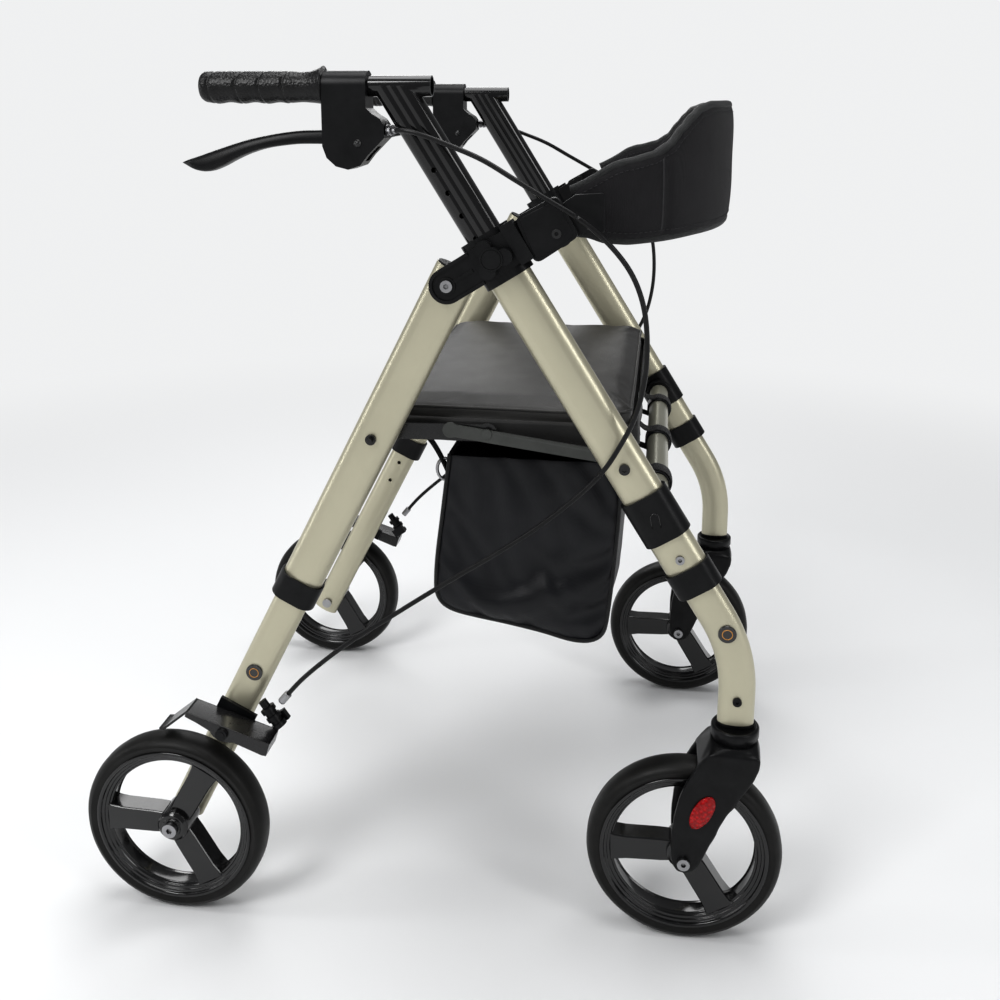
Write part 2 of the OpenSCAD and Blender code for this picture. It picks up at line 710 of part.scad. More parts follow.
place() front_leg(left);  // front_leg_left
place() front_leg(right);  // front_leg_right
place() front_cross_tube();
place() tee_sleeves();
place() bag_straps();
place() front_collars();
place() bracket(left);  // bracket_left
place() bracket(right);  // bracket_right
place() frame_bolts();
place() frame_screws();
place() bag();
place() rear_leg(left);  // rear_leg_left
place() rear_leg(right);  // rear_leg_right
place() rear_cross_tube();
place() rear_caps();
place() rear_collars();
place() rear_lower_leg(left);  // rear_lower_leg_left
place() rear_lower_leg(right);  // rear_lower_leg_right
place() cable_anchor(left);  // cable_anchor_left
place() cable_anchor(right);  // cable_anchor_right
place() rear_axle(left);  // rear_axle_left
place() rear_axle(right);  // rear_axle_right
place() brake_arm(left);  // brake_arm_left
place() brake_arm(right);  // brake_arm_right
place() rear_tyre(left);  // rear_tyre_left
place() rear_tyre(right);  // rear_tyre_right
place() rear_rim(left);  // rear_rim_left
place() rear_rim(right);  // rear_rim_right
place() front_lower_leg(left);  // front_lower_leg_left
place() front_lower_leg(right);  // front_lower_leg_right
place() stem_housing(left);  // stem_housing_left
place() stem_housing(right);  // stem_housing_right
place() caster_fork(left);  // caster_fork_left
place() caster_fork(right);  // caster_fork_right
place() caster_bolts(left);  // caster_bolts_left
place() caster_bolts(right);  // caster_bolts_right
place() reflector(left);  // reflector_left
place() reflector(right);  // reflector_right
place() caster_tyre(left);  // caster_tyre_left
place() caster_tyre(right);  // caster_tyre_right
place() caster_rim(left);  // caster_rim_left
place() caster_rim(right);  // caster_rim_right
place() handle_frame(left);  // handle_frame_left
place() handle_frame(right);  // handle_frame_right
place() grip(left);  // grip_left
place() grip(right);  // grip_right
place() brake_housing(left);  // brake_housing_left
place() brake_housing(right);  // brake_housing_right
place() cable_adjuster(left);  // cable_adjuster_left
place() cable_adjuster(right);  // cable_adjuster_right
place() brake_lever(left);  // brake_lever_left
place() brake_lever(right);  // brake_lever_right
place() star_knob(left);  // star_knob_left
place() star_knob(right);  // star_knob_right
place() seat_cushion();
place() seat_base();
place() front_links();
place() rear_links();
place() backrest_band();
place() backrest_blocks();
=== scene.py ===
import bpy, bmesh, math, json, random
from mathutils import Vector, Matrix, noise
from mathutils.bvhtree import BVHTree


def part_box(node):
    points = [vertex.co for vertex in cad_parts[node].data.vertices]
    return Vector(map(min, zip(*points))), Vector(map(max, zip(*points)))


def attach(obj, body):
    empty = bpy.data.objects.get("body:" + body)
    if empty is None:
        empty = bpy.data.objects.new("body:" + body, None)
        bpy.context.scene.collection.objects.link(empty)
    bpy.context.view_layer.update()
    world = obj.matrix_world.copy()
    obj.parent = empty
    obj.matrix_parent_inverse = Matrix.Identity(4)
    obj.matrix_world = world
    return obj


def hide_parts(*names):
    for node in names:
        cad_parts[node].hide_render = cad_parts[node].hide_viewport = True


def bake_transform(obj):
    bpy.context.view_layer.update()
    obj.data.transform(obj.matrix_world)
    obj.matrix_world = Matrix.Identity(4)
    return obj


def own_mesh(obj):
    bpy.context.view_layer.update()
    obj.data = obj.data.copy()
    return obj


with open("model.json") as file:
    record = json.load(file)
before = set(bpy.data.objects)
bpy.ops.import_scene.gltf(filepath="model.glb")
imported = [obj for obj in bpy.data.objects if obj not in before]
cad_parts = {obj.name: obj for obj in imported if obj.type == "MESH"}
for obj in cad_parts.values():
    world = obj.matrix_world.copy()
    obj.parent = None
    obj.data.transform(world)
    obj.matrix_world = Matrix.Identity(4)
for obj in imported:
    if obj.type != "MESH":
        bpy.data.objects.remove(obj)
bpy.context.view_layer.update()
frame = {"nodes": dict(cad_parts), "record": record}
random.seed(7)
scene = bpy.context.scene
W = 0.254
SIDES = (("left", 1), ("right", -1))
# the drawing below measures x from a point between the wheels; OX is where that point sits in the row frame
OX = (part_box("rear_rim_left")[0][0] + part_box("rear_rim_left")[1][0]) / 2 + 0.275


def V(x, y, z):
    """millimetres to metres"""
    return Vector((x / 1000.0, y / 1000.0, z / 1000.0))


# ---------------------------------------------------------------- materials
def ramp(nt, fac, stops):
    r = nt.nodes.new("ShaderNodeValToRGB")
    el = r.color_ramp.elements
    while len(el) < len(stops):
        el.new(0.5)
    for e, (p, c) in zip(el, stops):
        e.position = p
        e.color = c if len(c) == 4 else (*c, 1)
    nt.links.new(fac, r.inputs[0])
    return r.outputs[0]


def mathn(nt, op, a, b=None, c=None):
    m = nt.nodes.new("ShaderNodeMath")
    m.operation = op
    for i, x in enumerate((a, b, c)):
        if x is None:
            continue
        if isinstance(x, (int, float)):
            m.inputs[i].default_value = x
        else:
            nt.links.new(x, m.inputs[i])
    return m.outputs[0]


def noise_tex(nt, co, scale, detail=3, rough=0.5, dist=0.0, stretch=None):
    if stretch:
        mp = nt.nodes.new("ShaderNodeMapping")
        mp.inputs["Scale"].default_value = stretch
        nt.links.new(co, mp.inputs["Vector"])
        co = mp.outputs[0]
    n = nt.nodes.new("ShaderNodeTexNoise")
    n.inputs["Scale"].default_value = scale
    n.inputs["Detail"].default_value = detail
    n.inputs["Roughness"].default_value = rough
    n.inputs["Distortion"].default_value = dist
    nt.links.new(co, n.inputs["Vector"])
    return n.outputs["Fac"]


def make(name, base, rough=0.5, metal=0.0, var=0.08, vscale=25, rvar=0.08, kind="grain", bump=0.15, bscale=700,
         dist=0.0005, coat=0.0, coat_rough=0.1, sheen=0.0, wear=0.0, wear_col=None, spec=0.5, dust=0.0, stretch=None, painted_shade_dist=0.0):
    m = bpy.data.materials.new(name)
    m.use_nodes = True
    nt = m.node_tree
    b = nt.nodes["Principled BSDF"]
    tc = nt.nodes.new("ShaderNodeTexCoord")
    co = tc.outputs["Object"]
    dark = [c * (1 - var) for c in base]
    lite = [min(1, c * (1 + var) + 0.004) for c in base]
    n1 = noise_tex(nt, co, vscale, 4, 0.6, 0.3)
    col = ramp(nt, n1, [(0.3, dark), (0.7, lite)])
    n2 = noise_tex(nt, co, vscale * 6.3, 3, 0.55)
    mix = nt.nodes.new("ShaderNodeMix")
    mix.data_type = "RGBA"
    mix.blend_type = "MULTIPLY"
    mix.inputs["Factor"].default_value = min(1.0, var * 2.0)
    nt.links.new(col, mix.inputs["A"])
    nt.links.new(ramp(nt, n2, [(0.35, (0.72, 0.72, 0.72)), (0.65, (1, 1, 1))]), mix.inputs["B"])
    out = mix.outputs["Result"]
    # height field by kind
    if kind == "weave":
        s = bscale
        w1 = nt.nodes.new("ShaderNodeTexWave")
        w1.bands_direction = "X"
        w2 = nt.nodes.new("ShaderNodeTexWave")
        w2.bands_direction = "Z"
        w3 = nt.nodes.new("ShaderNodeTexWave")
        w3.bands_direction = "Y"
        for w in (w1, w2, w3):
            w.inputs["Scale"].default_value = s
            w.inputs["Distortion"].default_value = 0.6
            w.inputs["Detail"].default_value = 1.0
            nt.links.new(co, w.inputs["Vector"])
        h = mathn(nt, "MULTIPLY", mathn(nt, "ADD", w1.outputs["Fac"], w3.outputs["Fac"]), w2.outputs["Fac"])
        tint = nt.nodes.new("ShaderNodeMix")
        tint.data_type = "RGBA"
        tint.blend_type = "MULTIPLY"
        tint.inputs["Factor"].default_value = 0.55
        nt.links.new(out, tint.inputs["A"])
        nt.links.new(ramp(nt, h, [(0.15, (0.55, 0.55, 0.56)), (0.9, (1.0, 1.0, 1.0))]), tint.inputs["B"])
        out = tint.outputs["Result"]
    elif kind in ("pebble", "prism"):
        v = nt.nodes.new("ShaderNodeTexVoronoi")
        v.feature = "F1"
        v.inputs["Scale"].default_value = bscale
        nt.links.new(co, v.inputs["Vector"])
        h = v.outputs["Distance"]
        if kind == "prism":
            out2 = nt.nodes.new("ShaderNodeMix")
            out2.data_type = "RGBA"
            out2.blend_type = "MULTIPLY"
            out2.inputs["Factor"].default_value = 0.8
            nt.links.new(out, out2.inputs["A"])
            nt.links.new(ramp(nt, h, [(0.05, (1.0, 1.0, 1.0)), (0.6, (0.35, 0.3, 0.3))]), out2.inputs["B"])
            out = out2.outputs["Result"]
    elif kind == "leather":
        v = nt.nodes.new("ShaderNodeTexVoronoi")
        v.feature = "DISTANCE_TO_EDGE"
        v.inputs["Scale"].default_value = bscale
        nt.links.new(co, v.inputs["Vector"])
        h = mathn(nt, "MINIMUM", v.outputs["Distance"], 0.12)
        h = mathn(nt, "ADD", mathn(nt, "MULTIPLY", h, 6.0), noise_tex(nt, co, bscale * 0.4, 3))
    else:
        h = noise_tex(nt, co, bscale, 4, 0.65, 0.0, stretch)
    if dust > 0:
        geo = nt.nodes.new("ShaderNodeNewGeometry")
        sep = nt.nodes.new("ShaderNodeSeparateXYZ")
        nt.links.new(geo.outputs["Position"], sep.inputs[0])
        f = mathn(nt, "MULTIPLY", noise_tex(nt, co, 60, 5, 0.7), dust)
        dm = nt.nodes.new("ShaderNodeMix")
        dm.data_type = "RGBA"
        nt.links.new(f, dm.inputs["Factor"])
        nt.links.new(out, dm.inputs["A"])
        dm.inputs["B"].default_value = (0.34, 0.32, 0.29, 1)
        out = dm.outputs["Result"]
    if wear > 0:
        geo = nt.nodes.new("ShaderNodeNewGeometry")
        p = ramp(nt, geo.outputs["Pointiness"], [(0.52, (0, 0, 0)), (0.60, (1, 1, 1))])
        f = mathn(nt, "MULTIPLY", mathn(nt, "MULTIPLY", p, noise_tex(nt, co, 90, 4)), wear)
        wm = nt.nodes.new("ShaderNodeMix")
        wm.data_type = "RGBA"
        nt.links.new(f, wm.inputs["Factor"])
        nt.links.new(out, wm.inputs["A"])
        wm.inputs["B"].default_value = (*(wear_col or [min(1, c * 2 + 0.06) for c in base]), 1)
        out = wm.outputs["Result"]
    # painted shade: the base colour is multiplied by an ambient-occlusion mask, going near black in recesses such as
    # screw sockets
    if painted_shade_dist:
        ao = nt.nodes.new("ShaderNodeAmbientOcclusion")
        ao.inputs["Distance"].default_value = painted_shade_dist
        ao.samples = 4
        om = nt.nodes.new("ShaderNodeMix")
        om.data_type = "RGBA"
        om.blend_type = "MULTIPLY"
        om.inputs["Factor"].default_value = 1.0
        nt.links.new(out, om.inputs["A"])
        nt.links.new(ramp(nt, ao.outputs["AO"], [(0.35, (0.03, 0.03, 0.03)), (0.85, (1, 1, 1))]), om.inputs["B"])
        out = om.outputs["Result"]
    nt.links.new(out, b.inputs["Base Color"])
    bp = nt.nodes.new("ShaderNodeBump")
    bp.inputs["Strength"].default_value = bump
    bp.inputs["Distance"].default_value = dist
    nt.links.new(h, bp.inputs["Height"])
    nt.links.new(bp.outputs[0], b.inputs["Normal"])
    mr = nt.nodes.new("ShaderNodeMapRange")
    mr.inputs["To Min"].default_value = max(0.02, rough - rvar)
    mr.inputs["To Max"].default_value = min(1, rough + rvar)
    nt.links.new(noise_tex(nt, co, vscale * 2.7, 4, 0.6), mr.inputs["Value"])
    nt.links.new(mr.outputs[0], b.inputs["Roughness"])
    b.inputs["Metallic"].default_value = metal
    b.inputs["Specular IOR Level"].default_value = spec
    b.inputs["Coat Weight"].default_value = coat
    b.inputs["Coat Roughness"].default_value = coat_rough
    if sheen:
        b.inputs["Sheen Weight"].default_value = sheen
        b.inputs["Sheen Roughness"].default_value = 0.4
    return m


MAT = {
    "champagne": make("champagne_paint", (0.52, 0.495, 0.375), 0.33, 0.62, 0.02, 14, 0.015, bump=0.015, bscale=1400, dist=0.0001, coat=0.25, coat_rough=0.18),
    # darker copy of the champagne paint for the front cross tube under the seat: painted shade
    "champagne_painted_shade": make("champagne_paint_painted_shade", (0.36, 0.355, 0.285), 0.36, 0.6, 0.03, 14, 0.02, bump=0.02, bscale=1400, dist=0.0001, coat=0.25, coat_rough=0.18),
    "khaki": make("khaki_paint", (0.33, 0.28, 0.175), 0.34, 0.5, 0.03, 16, 0.02, bump=0.02, bscale=1200, dist=0.0001, coat=0.3),
    "black_plastic": make("black_plastic", (0.0034, 0.0036, 0.0042), 0.36, 0, 0.18, 40, 0.05, bump=0.25, bscale=1500, dist=0.00014, wear=0.07, wear_col=(0.035, 0.035, 0.038), spec=0.22),
    "black_gloss": make("black_gloss_paint", (0.0032, 0.0032, 0.0036), 0.12, 0.1, 0.15, 20, 0.03, bump=0.05, bscale=900, dist=0.0001, coat=0.5, coat_rough=0.06, spec=0.4),
    # plated steel carries painted shade in its recesses (ambient-occlusion darkening of the base colour)
    "silver": make("plated_steel", (0.36, 0.36, 0.37), 0.30, 1.0, 0.08, 60, 0.08, bump=0.12, bscale=900, dist=0.0001, stretch=(1, 1, 12), painted_shade_dist=0.004),
    "black_steel": make("black_steel", (0.0060, 0.0060, 0.0064), 0.27, 0.1, 0.18, 30, 0.07, bump=0.2, bscale=1100, dist=0.0002, coat=0.3, wear=0.08, wear_col=(0.08, 0.08, 0.08), spec=0.4),
    "grey_steel": make("grey_steel", (0.055, 0.058, 0.054), 0.42, 0.3, 0.10, 30, 0.08, bump=0.15, bscale=1000, dist=0.0002, wear=0.2, wear_col=(0.2, 0.2, 0.2)),
    "tyre": make("tyre_rubber", (0.0055, 0.0055, 0.0053), 0.42, 0, 0.16, 30, 0.10, bump=0.5, bscale=900, dist=0.0003, dust=0.02, spec=0.22),
    "rim": make("rim_plastic", (0.0030, 0.0030, 0.0034), 0.16, 0, 0.15, 40, 0.05, bump=0.12, bscale=500, dist=0.00015, coat=0.45, coat_rough=0.12, spec=0.4),
    "red": make("red_prism", (0.55, 0.0015, 0.004), 0.25, 0, 0.12, 80, 0.04, kind="prism", bump=0.8, bscale=260, dist=0.0014, spec=0.35),
    "grip": make("grip_vinyl", (0.0045, 0.0045, 0.0048), 0.34, 0, 0.2, 60, 0.08, kind="pebble", bump=0.5, bscale=420, dist=0.0007, spec=0.34),
    "vinyl": make("seat_vinyl", (0.0205, 0.0198, 0.0185), 0.47, 0, 0.10, 12, 0.07, kind="leather", bump=0.30, bscale=420, dist=0.00035, sheen=0.02, spec=0.42),
    # darker copy of the seat vinyl for the hanging side skirt: painted shade under the cushion's overhang
    "vinyl_painted_shade": make("seat_side_vinyl_painted_shade", (0.0095, 0.0092, 0.009), 0.50, 0, 0.12, 12, 0.06, kind="leather", bump=0.30, bscale=420, dist=0.0003, spec=0.3),
    "nylon": make("bag_nylon", (0.0032, 0.0037, 0.0062), 0.32, 0, 0.2, 10, 0.06, kind="weave", bump=0.28, bscale=300, dist=0.0002, sheen=0.04, spec=0.34),
    "pad_fabric": make("backrest_fabric", (0.0135, 0.0128, 0.0145), 0.85, 0, 0.10, 14, 0.06, kind="weave", bump=0.5, bscale=420, dist=0.0004, sheen=0.10, spec=0.25),
    "tape": make("binding_tape", (0.0055, 0.0065, 0.007), 0.55, 0, 0.15, 50, 0.05, kind="weave", bump=0.8, bscale=900, dist=0.0002, sheen=0.05),
    "thread": make("thread", (0.016, 0.016, 0.018), 0.7, 0, 0.2, 200, 0.05, bump=0.4, bscale=3000, dist=0.0001),
    "cable": make("cable_sleeve", (0.0045, 0.0045, 0.005), 0.33, 0, 0.15, 60, 0.06, bump=0.2, bscale=1500, dist=0.0001, spec=0.3),
    "webbing": make("webbing", (0.0085, 0.0085, 0.0095), 0.7, 0, 0.15, 60, 0.05, kind="weave", bump=1.0, bscale=700, dist=0.0004, sheen=0.1),
    "badge": make("badge_face", (0.008, 0.008, 0.008), 0.2, 0, 0.1, 80, 0.04, bump=0.05, bscale=800, dist=0.0001, coat=0.6),
    "badge_ring": make("badge_ring", (0.55, 0.26, 0.06), 0.35, 0.2, 0.1, 80, 0.05, bump=0.1, bscale=900, dist=0.0001),
}
rec_slot = {s["node"]: s["material_slot"] for s in frame["record"]["subparts"]}


def paint(o, key):
    o.data.materials.clear()
    o.data.materials.append(MAT[key])


def smooth(o, on=True):
    o.data.polygons.foreach_set("use_smooth", [on] * len(o.data.polygons))
    o.data.update()


def dress(o, key, bevel=0.0006, angle=32):
    """CAD node: material, welded corners and softened edges"""
    paint(o, key)
    w = o.modifiers.new("weld", "WELD")
    w.merge_threshold = 0.00002
    if bevel:
        b = o.modifiers.new("bevel", "BEVEL")
        b.width = bevel
        b.segments = 2
        b.limit_method = "ANGLE"
        b.angle_limit = math.radians(angle)
        b.harden_normals = False
        b.use_clamp_overlap = True
        n = o.modifiers.new("wn", "WEIGHTED_NORMAL")
        n.keep_sharp = False
    smooth(o)


for n, o in frame["nodes"].items():
    key = rec_slot[n]
    # the front cross tube takes the darker copy of the champagne paint, painted shade for its place under the seat
    if n == "front_cross_tube":
        key = "champagne_painted_shade"
    small = n.startswith(("frame_bolts", "frame_screws", "caster_bolts", "cable_adjuster", "rear_axle"))
    tube = n.startswith(("front_leg", "rear_leg_", "rear_lower", "front_lower", "handle_frame"))
    soft = n.startswith(("bracket", "brake_housing", "star_knob", "backrest_blocks"))
    dress(o, key, 0.0003 if small else (0.0004 if tube else (0.0013 if soft else 0.0008)), 50 if tube else 35)


# ---------------------------------------------------------------- mesh helpers
def new_obj(name, me, key, body=None, sm=True):
    o = bpy.data.objects.new(name, me)
    o.location.x = OX
    scene.collection.objects.link(o)
    paint(o, key)
    if sm:
        smooth(o)
    if body:
        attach(o, body)
    return o


def bm_obj(name, bm, key, body=None, sm=True):
    bmesh.ops.recalc_face_normals(bm, faces=bm.faces)
    me = bpy.data.meshes.new(name)
    bm.to_mesh(me)
    bm.free()
    return new_obj(name, me, key, body, sm)


def smooth_path(pts, n=8):
    """Catmull-Rom through the points"""
    P = [pts[0] + (pts[0] - pts[1])] + list(pts) + [pts[-1] + (pts[-1] - pts[-2])]
    out = []
    for i in range(1, len(P) - 2):
        a, b, c, d = P[i - 1], P[i], P[i + 1], P[i + 2]
        for k in range(n):
            t = k / n
            out.append(0.5 * ((2 * b) + (c - a) * t + (2 * a - 5 * b + 4 * c - d) * t * t + (3 * b - a - 3 * c + d) * t ** 3))
    out.append(pts[-1].copy())
    return out


def sweep(bm, pts, r, seg=10, closed=False, flat=1.0, up=None, caps=True):
    """tube along pts; flat scales one axis of the section"""
    n = len(pts)
    rings = []
    prev = None
    for i, p in enumerate(pts):
        a = pts[(i - 1) % n] if (closed or i > 0) else p
        b = pts[(i + 1) % n] if (closed or i < n - 1) else p
        t = (b - a).normalized()
        if up is not None:
            s = t.cross(up(i) if callable(up) else up)
        else:
            ref = prev if prev is not None else (Vector((0, 0, 1)) if abs(t.z) < 0.9 else Vector((1, 0, 0)))
            s = t.cross(ref.cross(t)) if prev is None else (prev - t * prev.dot(t))
            s = s if s.length > 1e-9 else t.orthogonal()
        s.normalize()
        prev = s.copy()
        q = t.cross(s).normalized()
        rings.append([bm.verts.new(p + s * math.cos(2 * math.pi * k / seg) * r * flat + q * math.sin(2 * math.pi * k / seg) * r) for k in range(seg)])
    m = n if closed else n - 1
    for i in range(m):
        A, B = rings[i], rings[(i + 1) % n]
        for k in range(seg):
            bm.faces.new((A[k], A[(k + 1) % seg], B[(k + 1) % seg], B[k]))
    if not closed and caps:
        bm.faces.new(rings[0][::-1])
        bm.faces.new(rings[-1])
    return bm


def tube_obj(name, pts, r, key, body=None, seg=10, closed=False, flat=1.0, up=None):
    bm = bmesh.new()
    sweep(bm, pts, r, seg, closed, flat, up)
    return bm_obj(name, bm, key, body)


def stitches(name, pts, r=0.00045, length=0.0034, gap=0.0022, key="thread", body=None):
    """short raised stitches laid along a path"""
    bm = bmesh.new()
    d = 0.0
    i = 0
    start = None
    acc = [0.0]
    for a, b in zip(pts, pts[1:]):
        acc.append(acc[-1] + (b - a).length)
    total = acc[-1]

    def at(s):
        s = max(0, min(total, s))
        lo_, hi_ = 0, len(acc) - 1
        while hi_ - lo_ > 1:
            mid = (lo_ + hi_) // 2
            if acc[mid] <= s:
                lo_ = mid
            else:
                hi_ = mid
        f = (s - acc[lo_]) / max(1e-9, acc[hi_] - acc[lo_])
        return pts[lo_].lerp(pts[hi_], f)
    while d + length < total:
        sweep(bm, [at(d), at(d + length * 0.5), at(d + length)], r, 6)
        d += length + gap
    return bm_obj(name, bm, key, body)


def bake(o):
    dg = bpy.context.evaluated_depsgraph_get()
    me = bpy.data.meshes.new_from_object(o.evaluated_get(dg), depsgraph=dg)
    o.modifiers.clear()
    o.data = me
    return o


def voxel(o, size):
    r = o.modifiers.new("r", "REMESH")
    r.mode = "VOXEL"
    r.voxel_size = size
    return bake(o)


def puff(o, pressure=4.0, frames=20, cap=0.006, pin=None, shrink=0.0, tension=15.0):
    """padded fabric: short cloth run under inner pressure, movement capped"""
    rest = [v.co.copy() for v in o.data.vertices]
    c = o.modifiers.new("cloth", "CLOTH")
    s = c.settings
    s.quality = 6
    s.mass = 0.3
    s.tension_stiffness = tension
    s.compression_stiffness = tension
    s.bending_stiffness = 0.6
    s.use_pressure = True
    s.uniform_pressure_force = pressure
    s.effector_weights.gravity = 0
    s.shrink_min = shrink
    if pin:
        g = o.vertex_groups.new(name="pin")
        g.add([i for i, v in enumerate(o.data.vertices) if pin(v.co)], 1.0, "REPLACE")
        s.vertex_group_mass = "pin"
    c.point_cache.frame_start = 1
    c.point_cache.frame_end = frames
    scene.frame_start, scene.frame_end = 1, frames
    for f in range(1, frames + 1):
        scene.frame_set(f)
    bake(o)
    for v, r in zip(o.data.vertices, rest):
        d = v.co - r
        if not (d.length < 1.0):
            v.co = r
        elif d.length > cap:
            v.co = r + d * (cap / d.length)
    scene.frame_set(1)
    return o


def subdiv(o, n=1):
    m = o.modifiers.new("sub", "SUBSURF")
    m.levels = n
    m.render_levels = n
    return bake(o)


def crease_noise(p, s, seed):
    q = Vector((p.x * s[0] + seed, p.y * s[1] - seed * 0.7, p.z * s[2] + seed * 0.3))
    return noise.noise(q)


# ---------------------------------------------------------------- seat cushion
def rounded_box(bm, lo, hi, nx, ny, nz):
    geom = bmesh.ops.create_cube(bm, size=1.0)
    for v in geom["verts"]:
        v.co = Vector((lo[0] if v.co.x < 0 else hi[0], lo[1] if v.co.y < 0 else hi[1], lo[2] if v.co.z < 0 else hi[2]))
    return bm


X0, X1, Y1, Z0, Z1 = -0.064, 0.208, 0.222, 0.537, 0.565
bm = bmesh.new()
rounded_box(bm, (X0, -Y1, Z0), (X1, Y1, Z1), 0, 0, 0)
bmesh.ops.bevel(bm, geom=[e for e in bm.edges if abs((e.verts[0].co - e.verts[1].co).z) > 0.01], offset=0.022, segments=6, affect="EDGES", profile=0.5)
seat = bm_obj("seat_cushion_padded", bm, "vinyl")
b = seat.modifiers.new("b", "BEVEL")
b.width = 0.006
b.segments = 3
b.limit_method = "ANGLE"
bake(seat)
voxel(seat, 0.005)
# pulled-in sides and corners before the padding swells the faces
for v in seat.data.vertices:
    fx = max(0.0, 1 - min(v.co.x - X0, X1 - v.co.x) / 0.02)
    fy = max(0.0, 1 - min(v.co.y + Y1, Y1 - v.co.y) / 0.02)
    if v.co.z > Z1 - 0.004:
        v.co.z -= 0.0022 * max(fx, fy) ** 2
    if Z0 + 0.008 < v.co.z < Z0 + 0.016:
        k = 0.0016
        v.co.x += k * fx * (1 if v.co.x < 0.07 else -1)
        v.co.y += k * fy * (1 if v.co.y < 0 else -1)
puff(seat, 3.2, 20, 0.0045, pin=lambda c: c.z < Z0 + 0.002)
for v in seat.data.vertices:
    if v.co.z > Z1 - 0.006:
        d = 0.0009 * crease_noise(v.co, (18, 7, 1), 3.1) + 0.0005 * crease_noise(v.co, (55, 30, 1), 9.0)
        v.co.z += d
subdiv(seat)
smooth(seat)
paint(seat, "vinyl")
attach(seat, "seat")
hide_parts("seat_cushion")


def loop_rect(x0, x1, y, r, z, n=10, wob=0.0):
    pts = []
    for cx, cy, a0 in ((x1 - r, y - r, 0), (x0 + r, y - r, 90), (x0 + r, -y + r, 180), (x1 - r, -y + r, 270)):
        for k in range(n + 1):
            a = math.radians(a0 + 90 * k / n)
            pts.append(Vector((cx + r * math.cos(a), cy + r * math.sin(a), z)))
    out = []
    for i, p in enumerate(pts):
        q = pts[(i + 1) % len(pts)]
        m = max(1, int((q - p).length / 0.006))
        for k in range(m):
            out.append(p.lerp(q, k / m))
    return out


def snap(pts, obj, off=0.0):
    bv = BVHTree.FromPolygons([v.co for v in obj.data.vertices], [p.vertices for p in obj.data.polygons])
    out = []
    for p in pts:
        c, nrm, _, _ = bv.find_nearest(p)
        out.append(c + nrm * off if c else p)
    return out


seam = snap(loop_rect(X0 + 0.001, X1 - 0.001, Y1 - 0.001, 0.022, Z1 - 0.002), seat, 0.0003)
tube_obj("seat_top_piping", seam, 0.0017, "vinyl", "seat", 8, True)
seam2 = snap(loop_rect(X0 - 0.001, X1 + 0.001, Y1 + 0.001, 0.022, Z0 + 0.011), seat, 0.0002)
stitches("seat_side_stitches", seam2 + seam2[:1], 0.0004, 0.0036, 0.0024, body="seat")

# hanging skirt of the cover round the base, in a darker copy of the seat vinyl as painted shade
bm = bmesh.new()
ring_pts = loop_rect(X0 - 0.0012, X1 + 0.0012, Y1 + 0.0016, 0.02, 0.0)
rows = []
for zi, (z, off) in enumerate([(0.549, -0.0012), (0.545, 0.0002), (0.540, 0.0008), (0.534, 0.001), (0.528, 0.0012), (0.5255, 0.0012), (0.5252, 0.0002)]):
    row = []
    for i, p in enumerate(ring_pts):
        c = Vector((0.072, 0, 0))
        dirv = Vector((0, 0, 0))
        dirv.x = (1 if p.x > 0.072 else -1) if abs(p.x - 0.072) > 0.134 else 0
        dirv.y = (1 if p.y > 0 else -1) if abs(p.y) > 0.218 else 0
        if dirv.length > 0:
            dirv.normalize()
        wob = 0.0009 * math.sin(p.x * 95 + p.y * 60) * (0.549 - z) / 0.024
        row.append(bm.verts.new(p + dirv * (off + wob) + Vector((0, 0, z))))
    rows.append(row)
n = len(ring_pts)
for a, b_ in zip(rows, rows[1:]):
    for i in range(n):
        bm.faces.new((a[i], a[(i + 1) % n], b_[(i + 1) % n], b_[i]))
skirt = bm_obj("seat_skirt", bm, "vinyl_painted_shade")
s_ = skirt.modifiers.new("sol", "SOLIDIFY")
s_.thickness = 0.0012
s_.offset = 0
bake(skirt)
smooth(skirt)
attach(skirt, "seat")
hem = [Vector((p.x, p.y, 0.5285)) for p in loop_rect(X0 - 0.003, X1 + 0.003, Y1 + 0.0034, 0.02, 0)]
hem = snap(hem, skirt, 0.0002)
stitches("seat_hem_stitches", hem + hem[:1], 0.00035, 0.003, 0.002, body="seat")

# ---------------------------------------------------------------- backrest band
EDGE = [(250, 790), (240, 802), (228, 814), (213, 820), (197, 830), (183, 845), (170, 856), (155, 865), (130, 869), (60, 870), (0, 870)]


def lerp_tab(tab, y):
    y = abs(y)
    for (a, za), (b_, zb) in zip(tab, tab[1:]):
        if b_ <= y <= a:
            t = (a - y) / (a - b_)
            t = t * t * (3 - 2 * t) * 0.5 + t * 0.5
            return za + (zb - za) * t
    return tab[0][1] if y > tab[0][0] else tab[-1][1]


def band_pos(t):
    a = math.radians(t)
    c = Vector(((150 + 147 * math.cos(a)) / 1000, 237 * math.sin(a) / 1000, 0))
    nrm = Vector((math.cos(a) / 147, math.sin(a) / 237, 0)).normalized()
    return c, nrm


T_END = 94.0
KB = 132
BOT_T = [(94, 742), (88, 741), (80, 735), (72, 733.5), (62, 734.5), (40, 737.5), (0, 740)]


def z_top(t):
    c, _ = band_pos(t)
    z = lerp_tab(EDGE, c.y * 1000)
    return (z - 17.0 * max(0.0, (abs(t) - 79) / 15) ** 1.2) / 1000


